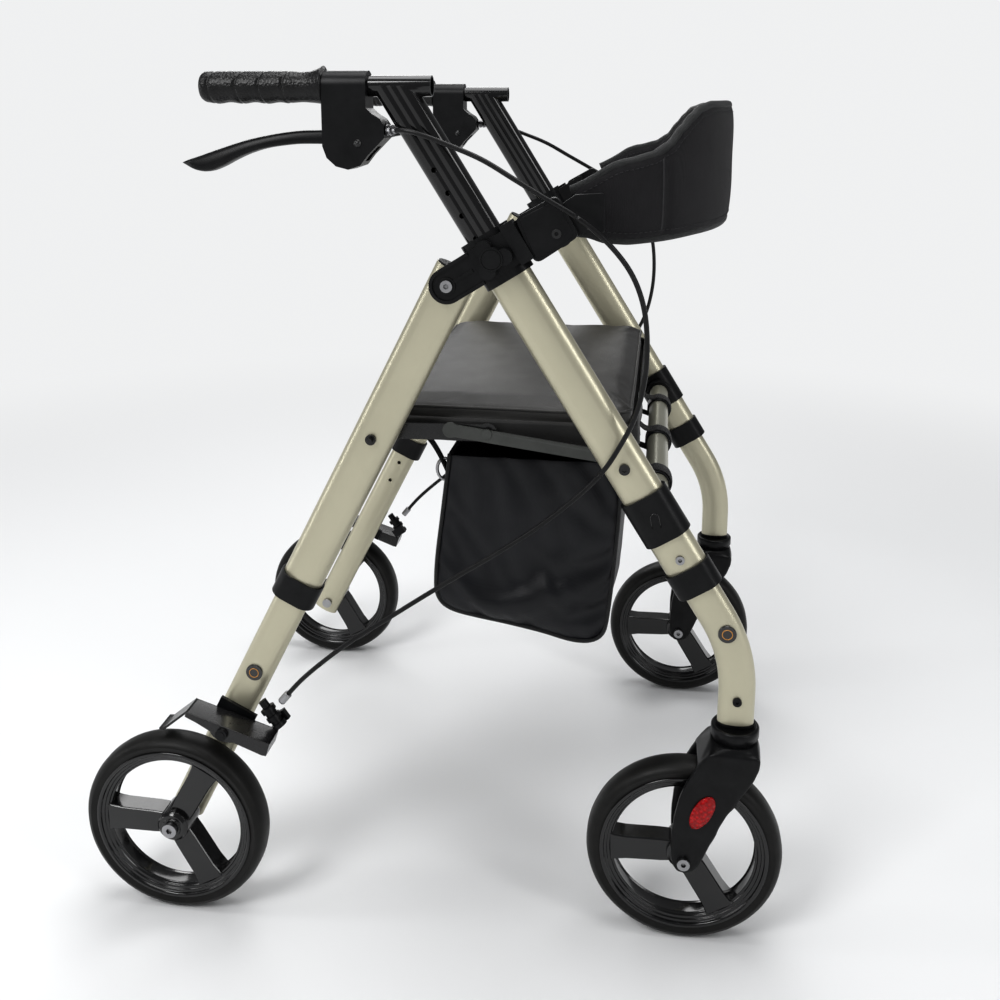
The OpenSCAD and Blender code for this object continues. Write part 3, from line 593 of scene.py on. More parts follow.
def z_bot(t):
    return lerp_tab(BOT_T, abs(t)) / 1000
bm = bmesh.new()
rings = []
NS = 30
for i in range(KB + 1):
    t = -T_END + 2 * T_END * i / KB
    c, nrm = band_pos(t)
    zt, zb = z_top(t), z_bot(t)
    zc, h = (zt + zb) / 2, (zt - zb) / 2 - 0.001
    ring = []
    for k in range(NS):
        a = 2 * math.pi * k / NS
        ca, sa = math.cos(a), math.sin(a)
        end = math.sqrt(max(0.04, 1 - max(0.0, (abs(t) - 90.5) / 3.5) ** 2))
        ox = 0.0068 * end * math.copysign(abs(ca) ** 0.55, ca)
        oz = h * (0.72 + 0.28 * end) * math.copysign(abs(sa) ** 0.75, sa)
        ring.append(bm.verts.new(c + nrm * ox + Vector((0, 0, zc + oz))))
    rings.append(ring)
for A, B in zip(rings, rings[1:]):
    for k in range(NS):
        bm.faces.new((A[k], A[(k + 1) % NS], B[(k + 1) % NS], B[k]))
bm.faces.new(rings[0][::-1])
bm.faces.new(rings[-1])
band = bm_obj("backrest_padded", bm, "pad_fabric")
voxel(band, 0.0048)
SEAM_Y = (0.205,)


def band_t(c):
    return math.degrees(math.atan2(c.y / 0.237, (c.x - 0.15) / 0.147))


def band_pin(c):
    t = band_t(c)
    zt, zb = z_top(t), z_bot(t)
    return c.z > zt - 0.006 or c.z < zb + 0.006 or abs(abs(c.y) - 0.205) < 0.0035 or c.x < 0.162


puff(band, 3.5, 20, 0.004, pin=band_pin)
for v in band.data.vertices:
    d = abs(abs(v.co.y) - 0.205)
    c = Vector((0.150, 0, 0))
    nx = Vector(((v.co.x - 0.15) / 0.147 ** 2, v.co.y / 0.237 ** 2, 0)).normalized()
    rad = ((v.co.x - 0.15) / 0.147) ** 2 + (v.co.y / 0.237) ** 2
    sgn = 1 if rad > 1 else -1
    if d < 0.006:
        v.co -= nx * sgn * 0.0016 * (1 - d / 0.006)
    v.co += nx * sgn * (0.0006 * crease_noise(v.co, (14, 14, 26), 5.5) + 0.0004 * crease_noise(v.co, (40, 40, 30), 1.5))
subdiv(band)
smooth(band)
paint(band, "pad_fabric")
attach(band, "backrest")
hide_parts("backrest_band")
for nm, tab, sg in (("top", z_top, -1), ("bottom", z_bot, 1)):
    pts = []
    for i in range(161):
        t = -T_END + 2 * T_END * i / 160
        c, nrm = band_pos(t)
        pts.append(c + Vector((0, 0, tab(t) + sg * 0.0035)))
    tube_obj("backrest_binding_" + nm, pts, 0.0050, "tape", "backrest", 12, False, 0.8, Vector((0, 0, 1)))
    for off, lab in ((1, "out"), (-1, "in")):
        sp = []
        for i in range(161):
            t = -T_END + 2 * T_END * i / 160
            c, nrm = band_pos(t)
            sp.append(c + nrm * off * 0.0078 + Vector((0, 0, tab(t) + sg * 0.0098)))
        sp = snap(sp, band, 0.0002)
        stitches("backrest_stitch_%s_%s" % (nm, lab), sp, 0.0004, 0.0034, 0.0022, body="backrest")
for sy in (1, -1):
    for off in (1, -1):
        cpts = []
        yy = 0.205
        a = math.degrees(math.asin(yy / 0.237))
        for k in range(24):
            c, nrm = band_pos(sy * a)
            z0, z1 = z_bot(a) + 0.009, z_top(a) - 0.009
            cpts.append(c + nrm * off * 0.012 + Vector((0, 0, z0 + (z1 - z0) * k / 23)))
        cpts = snap(cpts, band, 0.0001)
        tube_obj("backrest_seam_%d_%d" % (sy, off), cpts, 0.0011, "thread", "backrest", 6)

# ---------------------------------------------------------------- bag
PROF = [(12, 503), (8, 470), (3, 430), (-2, 390), (-4, 362), (-3, 344), (4, 332), (18, 325), (40, 320.5), (75, 315), (112, 308), (140, 301),
        (158, 299.5), (170, 302.5), (178, 310), (182, 324), (186, 360), (190, 410), (193, 455), (194, 503)]


def resample(pts, n):
    acc = [0.0]
    for a, b_ in zip(pts, pts[1:]):
        acc.append(acc[-1] + (b_ - a).length)
    out = []
    j = 0
    for i in range(n + 1):
        s = acc[-1] * i / n
        while j < len(acc) - 2 and acc[j + 1] < s:
            j += 1
        f = (s - acc[j]) / max(1e-9, acc[j + 1] - acc[j])
        out.append(pts[j].lerp(pts[j + 1], f))
    return out


prof = smooth_path([V(x, 0, z) for x, z in PROF], 6)
NP = 72
prof = resample(prof, NP)
NB = 22                      # points on the left and right sides; the rest is the bottom
YB = 0.203
NY = 56
bm = bmesh.new()
grid = []
for j in range(NY + 1):
    v = -1 + 2 * j / NY
    row = []
    for i, p in enumerate(prof):
        u = i / NP
        low = math.sin(math.pi * min(1, max(0, (u - 0.12) / 0.76)))
        mid = 1 - abs(v) ** 2.6
        sag = 0.012 * mid * low ** 2
        q = Vector((p.x, v * YB, p.z - sag))
        out = (1 if u > 0.5 else -1) * 0.006 * mid * math.sin(math.pi * u * 2) * (1 if u < 0.5 else -1)
        q.x += out
        row.append(bm.verts.new(q))
    grid.append(row)
for j in range(NY):
    for i in range(NP):
        bm.faces.new((grid[j][i], grid[j][i + 1], grid[j + 1][i + 1], grid[j + 1][i]))


def panel(edge, sgn):
    """side panel by transfinite interpolation of the profile edge"""
    L = edge[:NB + 1]
    Bm = edge[NB:NP - NB + 1]
    R = edge[NP - NB:][::-1]
    nx = len(Bm) - 1
    cell = [[None] * (nx + 1) for _ in range(NB + 1)]
    for r in range(NB + 1):
        for c in range(nx + 1):
            s, t = c / nx, r / NB
            if c == 0:
                cell[r][c] = L[r]
                continue
            if c == nx:
                cell[r][c] = R[r]
                continue
            if r == NB:
                cell[r][c] = Bm[c]
                continue
            top = L[0].co.lerp(R[0].co, s)
            P = (L[r].co * (1 - s) + R[r].co * s) + (top * (1 - t) + Bm[c].co * t) - (
                L[0].co * (1 - s) * (1 - t) + R[0].co * s * (1 - t) + L[NB].co * (1 - s) * t + R[NB].co * s * t)
            P.y = sgn * (YB + 0.006 * math.sin(math.pi * s) * math.sin(math.pi * min(1, t)) ** 0.7)
            cell[r][c] = bm.verts.new(P)
    for r in range(NB):
        for c in range(nx):
            bm.faces.new((cell[r][c], cell[r][c + 1], cell[r + 1][c + 1], cell[r + 1][c]))


panel(grid[0], -1)
panel(grid[NY], 1)
bmesh.ops.recalc_face_normals(bm, faces=bm.faces)
edge_idx = {}
bm.verts.index_update()
for nm, row in (("right", grid[0]), ("left", grid[NY])):
    edge_idx[nm] = [v.index for v in row]
top_idx = {v.index for row in grid for v in (row[0], row[-1])}
bag = bm_obj("bag_shell", bm, "nylon")
# fullness that the cloth run turns into folds
for v in bag.data.vertices:
    if abs(v.co.y) > YB - 0.001:
        d_ = Vector((v.co.x * 0.8 + v.co.z * 0.6, 0, v.co.z * 0.8 - v.co.x * 0.6))
        k = (0.5 - abs(crease_noise(d_, (26, 0, 7), 2.2)) * 2.2) * 0.0052 + crease_noise(v.co, (36, 0, 20), 8.2) * 0.0022
        rim_ = min(1.0, min(abs(v.co.x + 0.002), abs(v.co.x - 0.19), abs(v.co.z - 0.305)) / 0.03)
        v.co.y += math.copysign(max(-0.003, k), v.co.y) * (0.0 if v.index in edge_idx["left"] or v.index in edge_idx["right"] else 0.25 + 0.75 * rim_)
    elif v.co.z < 0.49:
        fade = 1 - (abs(v.co.y) / YB) ** 4
        d_ = Vector((0, v.co.y, v.co.z + v.co.x * 0.7))
        k = crease_noise(d_, (0, 14, 26), 5.1) * 0.0034 * fade
        v.co.z -= max(-0.002, k) if v.co.z < 0.335 else 0.0
        v.co.x += (max(-0.002, k) if v.co.x > 0.1 else -max(-0.002, k)) if v.co.z >= 0.335 else 0.0
rest = [v.co.copy() for v in bag.data.vertices]
g = bag.vertex_groups.new(name="pin")
pins = [i for i, v in enumerate(bag.data.vertices) if v.co.z > 0.494]
g.add(pins, 1.0, "REPLACE")
half = [i for i in edge_idx["left"] + edge_idx["right"] if i not in pins]
g.add(half, 1.0, "REPLACE")
c = bag.modifiers.new("cloth", "CLOTH")
s = c.settings
s.quality = 8
s.mass = 0.15
s.tension_stiffness = 12
s.compression_stiffness = 4
s.bending_stiffness = 0.05
s.shrink_min = -0.035
s.vertex_group_mass = "pin"
s.effector_weights.gravity = 0.5
c.point_cache.frame_start, c.point_cache.frame_end = 1, 26
scene.frame_start, scene.frame_end = 1, 26
for f in range(1, 27):
    scene.frame_set(f)
bake(bag)
for v, r in zip(bag.data.vertices, rest):
    d = v.co - r
    cap = 0.011
    if not (d.length < 1):
        v.co = r
    elif d.length > cap:
        v.co = r + d * (cap / d.length)
scene.frame_set(1)
pipe = {k: [bag.data.vertices[i].co.copy() for i in idx] for k, idx in edge_idx.items()}
s_ = bag.modifiers.new("sol", "SOLIDIFY")
s_.thickness = 0.0011
s_.offset = 0
bake(bag)
subdiv(bag)
smooth(bag)
paint(bag, "nylon")
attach(bag, "front_frame")
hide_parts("bag")
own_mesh(bag)
for k, pts in pipe.items():
    sg = 1 if k == "left" else -1
    pts = [p + Vector((0, sg * 0.0008, 0)) for p in pts]
    o = tube_obj("bag_piping_" + k, smooth_path(pts, 2), 0.0021, "tape", "front_frame", 8)
    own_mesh(o)
# mouth hem
for nm, xx in (("rear", 0.0118), ("front", 0.1942)):
    o = tube_obj("bag_hem_" + nm, [Vector((xx, -0.2 + 0.4 * i / 40, 0.5005)) for i in range(41)], 0.0042, "tape", "front_frame", 10, False, 0.35, Vector((0, 0, 1)))
    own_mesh(o)


# webbing loops from the bag mouth to the front cross tube
TX, TZ = 0.070 + 0.302 * math.sin(math.radians(32)), 0.723 - 0.302 * math.cos(math.radians(32))
for i, y in enumerate((-0.150, 0.0, 0.150)):
    pts = [Vector((0.1945, y, 0.497)), Vector((0.203, y, 0.492)), Vector((0.2135, y, 0.4825)), Vector((0.222, y, 0.4808)), Vector((TX, y, TZ + 0.0162)),
           Vector((TX + 0.0115, y, TZ + 0.0115)), Vector((TX + 0.0162, y, TZ)), Vector((TX + 0.0115, y, TZ - 0.0115)), Vector((TX, y, TZ - 0.0162)),
           Vector((0.2165, y, 0.458)), Vector((0.204, y, 0.4625)), Vector((0.1955, y, 0.470))]
    bm = bmesh.new()
    P = smooth_path(pts, 5)
    sweep(bm, P, 0.012, 12, False, 0.09, Vector((0, 1, 0)))
    o = bm_obj("bag_strap_%d" % i, bm, "webbing", "front_frame")

# hanging straps at the rear of the bag, up to the seat rail
for s_i, (nm, sg) in enumerate(SIDES):
    y = sg * 0.196
    pts = [Vector((0.010, y, 0.478)), Vector((0.004, y, 0.492)), Vector((-0.004, y, 0.507)), Vector((-0.012, y, 0.518)), Vector((-0.020, y, 0.523))]
    bm = bmesh.new()
    sweep(bm, smooth_path(pts, 5), 0.008, 10, False, 0.14, Vector((0, 1, 0)))
    o = bm_obj("bag_hanger_" + nm, bm, "webbing", "front_frame")
    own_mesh(o)
    bm = bmesh.new()
    sweep(bm, [Vector((0.006 + 0.009 * math.cos(a), y, 0.4835 + 0.012 * math.sin(a))) for a in [2 * math.pi * k / 20 for k in range(20)]], 0.0018, 8, True)
    o = bm_obj("bag_hook_" + nm, bm, "silver", "front_frame")
    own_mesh(o)

# ---------------------------------------------------------------- moulded pieces
LL = math.radians(32)
rl = math.radians(26.822944)
KX, KZ = 0.070, 0.723
px, pz = 25.053, 694.914
STEM_X = 0.3175
STEM_Z = KZ - (STEM_X - KX) / math.sin(LL) * math.cos(LL)
BC = (STEM_X - 0.150, STEM_Z - 0.150 * math.tan(LL / 2))


def oval(r, half, seg=14, mid=3):
    """flat-sided oval section as (across, out) pairs"""
    P = []
    for k in range(seg + 1):
        a = -math.pi / 2 + math.pi * k / seg
        P.append((half + r * math.cos(a), r * math.sin(a)))
    for k in range(1, mid):
        P.append((half - 2 * half * k / mid, r))
    for k in range(seg + 1):
        a = math.pi / 2 + math.pi * k / seg
        P.append((-half + r * math.cos(a), r * math.sin(a)))
    for k in range(1, mid):
        P.append((-half + 2 * half * k / mid, -r))
    return P


def rounded(r, half, n_=2.12):
    """fuller oval through the same extents and with the same number of points as oval()"""
    P = []
    for u, v_ in oval(r, half, SEG):
        th = math.atan2(v_ / r, u / (half + r))
        c_, s_ = math.cos(th), math.sin(th)
        P.append(((half + r) * math.copysign(abs(c_) ** (2 / n_), c_), r * math.copysign(abs(s_) ** (2 / n_), s_)))
    return P


SEG = 22


def hollow_leg(node, body, stations, ro, ri, key, sg, cuts=()):
    """stations: (centre x, centre z, across x, across z) along the leg; ro and ri are (radius, half width) outside and in the bore"""
    bm = bmesh.new()
    skins = []
    for r, half in (ro, ri):
        sec = rounded(r, half) if (r, half) == ro else oval(r, half, SEG)
        skins.append([[bm.verts.new(Vector((cx + u * ux, sg * (W + v_), cz + u * uz))) for u, v_ in sec] for cx, cz, ux, uz in stations])
    for rows_ in skins:
        for A, B in zip(rows_, rows_[1:]):
            m = len(A)
            for k in range(m):
                bm.faces.new((A[k], A[(k + 1) % m], B[(k + 1) % m], B[k]))
    for e_ in (0, -1):
        A, B = skins[0][e_], skins[1][e_]
        m = len(A)
        for k in range(m):
            bm.faces.new((A[k], A[(k + 1) % m], B[(k + 1) % m], B[k]))
    o = bm_obj(node + "_drawn", bm, key, None)
    for x, z, r, y0, y1 in cuts:
        cb = bmesh.new()
        bmesh.ops.create_cone(cb, cap_ends=True, segments=24, radius1=r, radius2=r, depth=y1 - y0,
                              matrix=Matrix.Translation(Vector((x, sg * (W + (y0 + y1) / 2), z))) @ Matrix.Rotation(math.pi / 2, 4, "X"))
        cm = bpy.data.meshes.new("cut")
        cb.to_mesh(cm)
        cb.free()
        co_ = bpy.data.objects.new("cut", cm)
        co_.location.x = OX
        scene.collection.objects.link(co_)
        bo = o.modifiers.new("c", "BOOLEAN")
        bo.operation = "DIFFERENCE"
        bo.solver = "EXACT"
        bo.object = co_
        bpy.context.view_layer.update()
        bake(o)
        bpy.data.objects.remove(co_)
    b_ = o.modifiers.new("bevel", "BEVEL")
    b_.width = 0.0004
    b_.segments = 2
    b_.limit_method = "ANGLE"
    b_.angle_limit = math.radians(50)
    o.modifiers.new("wn", "WEIGHTED_NORMAL")
    smooth(o)
    paint(o, key)
    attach(o, body)
    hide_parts(node)
    return o


def on_front(s_):
    return (KX + s_ * math.sin(LL), KZ - s_ * math.cos(LL), math.cos(LL), math.sin(LL))


def on_rear(s_):
    return (px / 1000 - s_ * math.sin(rl), pz / 1000 - s_ * math.cos(rl), math.cos(rl), -math.sin(rl))


def run(f, a, b_, n_):
    return [f(a + (b_ - a) * i / n_) for i in range(n_ + 1)]


for nm, sg in SIDES:
    hollow_leg("front_leg_" + nm, "front_frame", run(on_front, 0.006, 0.373, 16), (0.013, 0.009), (0.0111, 0.008), "champagne", sg)
    rp = on_rear(0.179)
    hollow_leg("rear_leg_" + nm, "rear_frame", run(on_rear, -0.014, 0.368, 16), (0.013, 0.009), (0.0111, 0.008), "champagne", sg,
               [(px / 1000, pz / 1000, 0.0043, -0.02, 0.02), (rp[0], rp[1], 0.0033, -0.02, 0.02)])
    h1, h2 = on_rear(0.400), on_rear(0.432)
    hollow_leg("rear_lower_leg_" + nm, "rear_extension_" + nm, run(on_rear, 0.215, 0.66496 + 0.014, 18), (0.0105, 0.008), (0.0087, 0.008), "champagne", sg,
               [(h1[0], h1[1], 0.0026, -0.02, 0.0), (h2[0], h2[1], 0.0026, -0.02, 0.0)])
    st = run(on_front, 0.280, (STEM_X - KX) / math.sin(LL) - 0.150 * math.tan(LL / 2), 8)
    st += [(BC[0] + 0.150 * math.cos(a), BC[1] + 0.150 * math.sin(a), math.cos(a), math.sin(a)) for a in [LL * (1 - k / 14) for k in range(1, 15)]]
    st += [(STEM_X, BC[1] - (BC[1] - 0.250) * k / 4, 1.0, 0.0) for k in range(1, 5)]
    hollow_leg("front_lower_leg_" + nm, "front_extension_" + nm, st, (0.0105, 0.008), (0.0087, 0.008), "champagne", sg)


def bevelled(o, w, seg=2, angle=32):
    b_ = o.modifiers.new("b", "BEVEL")
    b_.width = w
    b_.segments = seg
    b_.limit_method = "ANGLE"
    b_.angle_limit = math.radians(angle)
    o.modifiers.new("n", "WEIGHTED_NORMAL")
    return o


def prism(bm, pts, y0, y1):
    """outline in (x, z), extruded along y"""
    A = [bm.verts.new(Vector((x, y0, z))) for x, z in pts]
    B = [bm.verts.new(Vector((x, y1, z))) for x, z in pts]
    n_ = len(pts)
    f0 = bm.faces.new(A)
    f1 = bm.faces.new(B[::-1])
    for i in range(n_):
        bm.faces.new((A[i], B[i], B[(i + 1) % n_], A[(i + 1) % n_]))
    return f0, f1


def spin(bm, prof_, cx, cy, cz, sg, seg=72, closed=True):
    """profile of (r, y) turned about the line through (cx, cz) along y"""
    rows_ = [[bm.verts.new(Vector((cx + r * math.cos(2 * math.pi * k / seg), sg * (cy + y), cz + r * math.sin(2 * math.pi * k / seg)))) for k in range(seg)] for r, y in prof_]
    m = len(rows_) if closed else len(rows_) - 1
    for i in range(m):
        A, B = rows_[i], rows_[(i + 1) % len(rows_)]
        for k in range(seg):
            bm.faces.new((A[k], A[(k + 1) % seg], B[(k + 1) % seg], B[k]))
    return rows_


# backrest block: rounded square plate over the leg, with an arm into the band
def round_poly(P, r, n_=6):
    out = []
    m = len(P)
    for i in range(m):
        a, b_, c = Vector(P[i - 1]), Vector(P[i]), Vector(P[(i + 1) % m])
        u, v_ = (a - b_).normalized(), (c - b_).normalized()
        half = math.acos(max(-1, min(1, u.dot(v_)))) / 2
        d_ = min(r / math.tan(half), (a - b_).length * 0.45, (c - b_).length * 0.45)
        p0, p1 = b_ + u * d_, b_ + v_ * d_
        for k in range(n_ + 1):
            t = k / n_
            out.append(tuple(p0 * (1 - t) ** 2 + b_ * 2 * t * (1 - t) + p1 * t * t))
    return out


bm = bmesh.new()
for nm, sg in SIDES:
    for P, r, y0, y1 in (([(-40, 14), (-1, 36), (22, -1.5), (-20, -30)], 8, 9.3, 20.0), ([(-36, 13), (-2, 31.5), (17, -1), (-19, -25)], 6, 19.9, 20.9),
                         ([(2, 14), (2, 26), (16, 36), (44, 38), (44, 0), (12, 0)], 4, 6.5, 12.5), ([(14, -2), (24, -2), (24, 35), (14, 32)], 2, -25, 11), ([(14, -2), (44, -2), (44, 36), (14, 32)], 3, -28, -24.2)):
        prism(bm, [((x + 130) / 1000, (z + 747) / 1000) for x, z in round_poly(P, r)], sg * (W + y0 / 1000), sg * (W + y1 / 1000))
o = bm_obj("backrest_blocks_moulded", bm, "black_plastic", None)
bevelled(o, 0.0012, 3, 40)
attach(o, "backrest")
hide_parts("backrest_blocks")

# caster fork: head, crown and two swept cheeks, melted together
CHEEK = [(340, 232), (342.5, 222), (341, 211), (336.5, 199), (330, 188), (321.5, 175), (312.5, 160), (304.5, 143), (297, 125), (291, 110), (286.5, 99),
         (281, 91.5), (271.5, 87.5), (263, 90), (258.5, 97), (257, 111), (257, 130), (259, 152), (263, 172), (269, 189), (277, 204), (285, 217), (292, 228), (300, 236)]
for nm, sg in SIDES:
    bm = bmesh.new()
    for y0, y1 in ((W + 0.0204, W + 0.0282), (W - 0.0282, W - 0.0204)):
        prism(bm, [(x / 1000, min(z, 226) / 1000) for x, z in CHEEK], sg * y0, sg * y1)
    body_ = bmesh.new()
    for z, r in ((0.2105, 0.0268), (0.222, 0.0262), (0.232, 0.0235)):
        for k in range(40):
            a = 2 * math.pi * k / 40
            body_.verts.new(Vector((0.3175 + r * math.cos(a), sg * W + r * math.sin(a) * (1.03 if z < 0.23 else 1), z)))
    for y in (-0.0278, 0.0278):
        for x, z in ((0.2795, 0.2095), (0.286, 0.217), (0.341, 0.2105), (0.342, 0.220), (0.294, 0.226)):
            body_.verts.new(Vector((x, sg * W + y, z)))
    bmesh.ops.convex_hull(body_, input=body_.verts)
    tmp = bpy.data.meshes.new("t")
    body_.to_mesh(tmp)
    body_.free()
    bm.from_mesh(tmp)
    bpy.data.meshes.remove(tmp)
    # swelling on the outside of each cheek, fading towards the axle
    for side_y in (W + 0.0243, W - 0.0243):
        for (x, z, rx, rz) in ((0.309, 0.206, 0.029, 0.022), (0.297, 0.182, 0.027, 0.028), (0.284, 0.150, 0.021, 0.034), (0.274, 0.118, 0.013, 0.026)):
            g = bmesh.ops.create_uvsphere(bm, u_segments=32, v_segments=16, radius=1.0)
            for v in g["verts"]:
                v.co = Vector((x + v.co.x * rx, sg * side_y + v.co.y * 0.0050, z + v.co.z * rz))
    fork = bm_obj("caster_fork_moulded_" + nm, bm, "black_plastic")
    r_ = fork.modifiers.new("r", "REMESH")
    r_.mode = "VOXEL"
    r_.voxel_size = 0.0014
    s_ = fork.modifiers.new("s", "SMOOTH")
    s_.factor = 0.6
    s_.iterations = 14
    bake(fork)
    smooth(fork)
    paint(fork, "black_plastic")
    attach(fork, "caster_" + nm)
    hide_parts("caster_fork_" + nm)
    bm = bmesh.new()
    rows_ = []
    for z, r in ((0.2290, 0.0), (0.2290, 0.0225), (0.2355, 0.0225), (0.2362, 0.0243), (0.2450, 0.0243), (0.2466, 0.0232), (0.2472, 0.0215), (0.2462, 0.0205), (0.2462, 0.0)):
        rows_.append([bm.verts.new(Vector((0.3175 + r * math.cos(2 * math.pi * k / 48), sg * W + r * math.sin(2 * math.pi * k / 48), z))) for k in range(48)] if r else
                     [bm.verts.new(Vector((0.3175, sg * W, z)))])
    for A, B in zip(rows_, rows_[1:]):
        for k in range(48):
            if len(A) == 1:
                bm.faces.new((A[0], B[k], B[(k + 1) % 48]))
            elif len(B) == 1:
                bm.faces.new((A[(k + 1) % 48], A[k], B[0]))
            else:
                bm.faces.new((A[k], A[(k + 1) % 48], B[(k + 1) % 48], B[k]))
    bm_obj("caster_collar_" + nm, bm, "black_plastic", "caster_" + nm)
    # raised reflector, long oval leaning with the cheek
    bm = bmesh.new()
    ca, sa = math.cos(math.radians(-27)), math.sin(math.radians(-27))
    rows_ = []
    for q, h in ((1.0, 0.0), (1.0, 0.0016), (0.93, 0.0024), (0.6, 0.0032), (0.3, 0.0036), (0.0, 0.0037)):
        ring = []
        for k in range(48 if q else 1):
            a = 2 * math.pi * k / 48
            lx, lz = 0.0098 * q * math.cos(a), 0.0205 * q * math.sin(a)
            ring.append(bm.verts.new(Vector((0.2868 + lx * ca - lz * sa, sg * (W + 0.0288 + h), 0.1615 + lx * sa + lz * ca))))
        rows_.append(ring)
    for A, B in zip(rows_, rows_[1:]):
        for k in range(48):
            if len(B) == 1:
                bm.faces.new((A[k], A[(k + 1) % 48], B[0]))
            else:
                bm.faces.new((A[k], A[(k + 1) % 48], B[(k + 1) % 48], B[k]))
    bm.faces.new(rows_[0][::-1])
    o = bm_obj("reflector_oval_" + nm, bm, "red", "caster_" + nm)
    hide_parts("reflector_" + nm)

# brake lever: wide blade with a beaked tip
TOP = [(-56, 836), (-70, 840), (-90, 841), (-117, 840.8), (-134, 839.3), (-152, 836.6), (-174, 832), (-192, 826.8), (-210, 821), (-226, 815.6), (-238, 811.8), (-245.5, 809)]
BOTM = [(-54, 826), (-68, 822), (-88, 827), (-117, 827.8), (-135, 826.6), (-157, 823.3), (-175, 818), (-189, 812), (-203, 805), (-216, 800.5), (-229, 801.6), (-243.5, 807.6)]
WID = [5.0, 5.8, 5.9, 7.2, 8.2, 9.2, 10.2, 10.8, 11.2, 10.8, 8.5, 1.5]
for nm, sg in SIDES:
    tp = smooth_path([V(x, 0, z) for x, z in TOP], 6)
    bt = smooth_path([V(x, 0, z) for x, z in BOTM], 6)
    ww = smooth_path([V(w_, 0, 0) for w_ in WID], 6)
    bm = bmesh.new()
    rings = []
    for A, B, w_ in zip(tp, bt, ww):
        mid = (A + B) / 2
        hh = (A - B) / 2
        ring = []
        for k in range(24):
            a = 2 * math.pi * k / 24
            c_, s2 = math.cos(a), math.sin(a)
            cc = math.copysign(abs(c_) ** 0.55, c_)
            ss = math.copysign(abs(s2) ** 0.65, s2)
            # the upper side is narrower than the lower one
            ring.append(bm.verts.new(Vector((mid.x + hh.x * ss, sg * (W + w_.x * cc * (1 - 0.16 * ss)), mid.z + hh.z * ss))))
        rings.append(ring)
    for A, B in zip(rings, rings[1:]):
        for k in range(24):
            bm.faces.new((A[k], A[(k + 1) % 24], B[(k + 1) % 24], B[k]))
    bm.faces.new(rings[0][::-1])
    bm.faces.new(rings[-1])
    o = bm_obj("brake_lever_moulded_" + nm, bm, "black_plastic", "lever_" + nm)
    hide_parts("brake_lever_" + nm)
    bm = bmesh.new()
    spin(bm, [(0.0, 0.0155), (0.0036, 0.0155), (0.0036, -0.0155), (0.0, -0.0155)][1:3], -0.062, W, 0.829, sg, 24, False)
    f_ = bmesh.ops.holes_fill(bm, edges=bm.edges)
    bm_obj("lever_pin_" + nm, bm, "black_steel", "lever_" + nm)

# hand grip: pebbled sleeve with finger grooves and a flared, peaked collar
for nm, sg in SIDES:
    NX, NA = 122, 56
    bm = bmesh.new()
    rings = []
    for i in range(NX + 1):
        t = i / NX
        x = -220.0 + 122.0 * t
        r0 = 15.2 - 2.6 * max(0.0, 1 - (x + 220) / 5.0) ** 2
        if x > -132:
            r0 -= 0.9 * math.exp(-((x + 119) / 9) ** 2)
        ring = []
        for k in range(NA):
            a = 2 * math.pi * k / NA
            up = math.sin(a)
            r = r0
            for gx in (-211, -183, -160, -136):
                g0 = gx + 3.5 * math.sin(a * 1.0) ** 2
                r -= 1.3 * math.exp(-((x - g0) / 1.3) ** 2) * (0.35 + 0.65 * abs(math.cos(a)))
            if x < -132:
                r += 0.7 * math.sin((x + 211) / 25.0 * 2 * math.pi) * max(0.0, -up)
            if x > -112:
                q = (x + 112) / 14.0
                r += (2.0 + 2.0 * max(0.0, up)) * q ** 1.7
            ring.append(bm.verts.new(V(x, sg * (254 + r * math.cos(a)), 882.5 + r * up - (0.8 if x < -112 else 0.8 * (1 - (x + 112) / 14)))))
        rings.append(ring)
    for A, B in zip(rings, rings[1:]):
        for k in range(NA):
            bm.faces.new((A[k], A[(k + 1) % NA], B[(k + 1) % NA], B[k]))
    bm.faces.new(rings[0][::-1])
    bm.faces.new(rings[-1])
    o = bm_obj("grip_sleeve_" + nm, bm, "grip", "handle_" + nm)
    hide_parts("grip_" + nm)

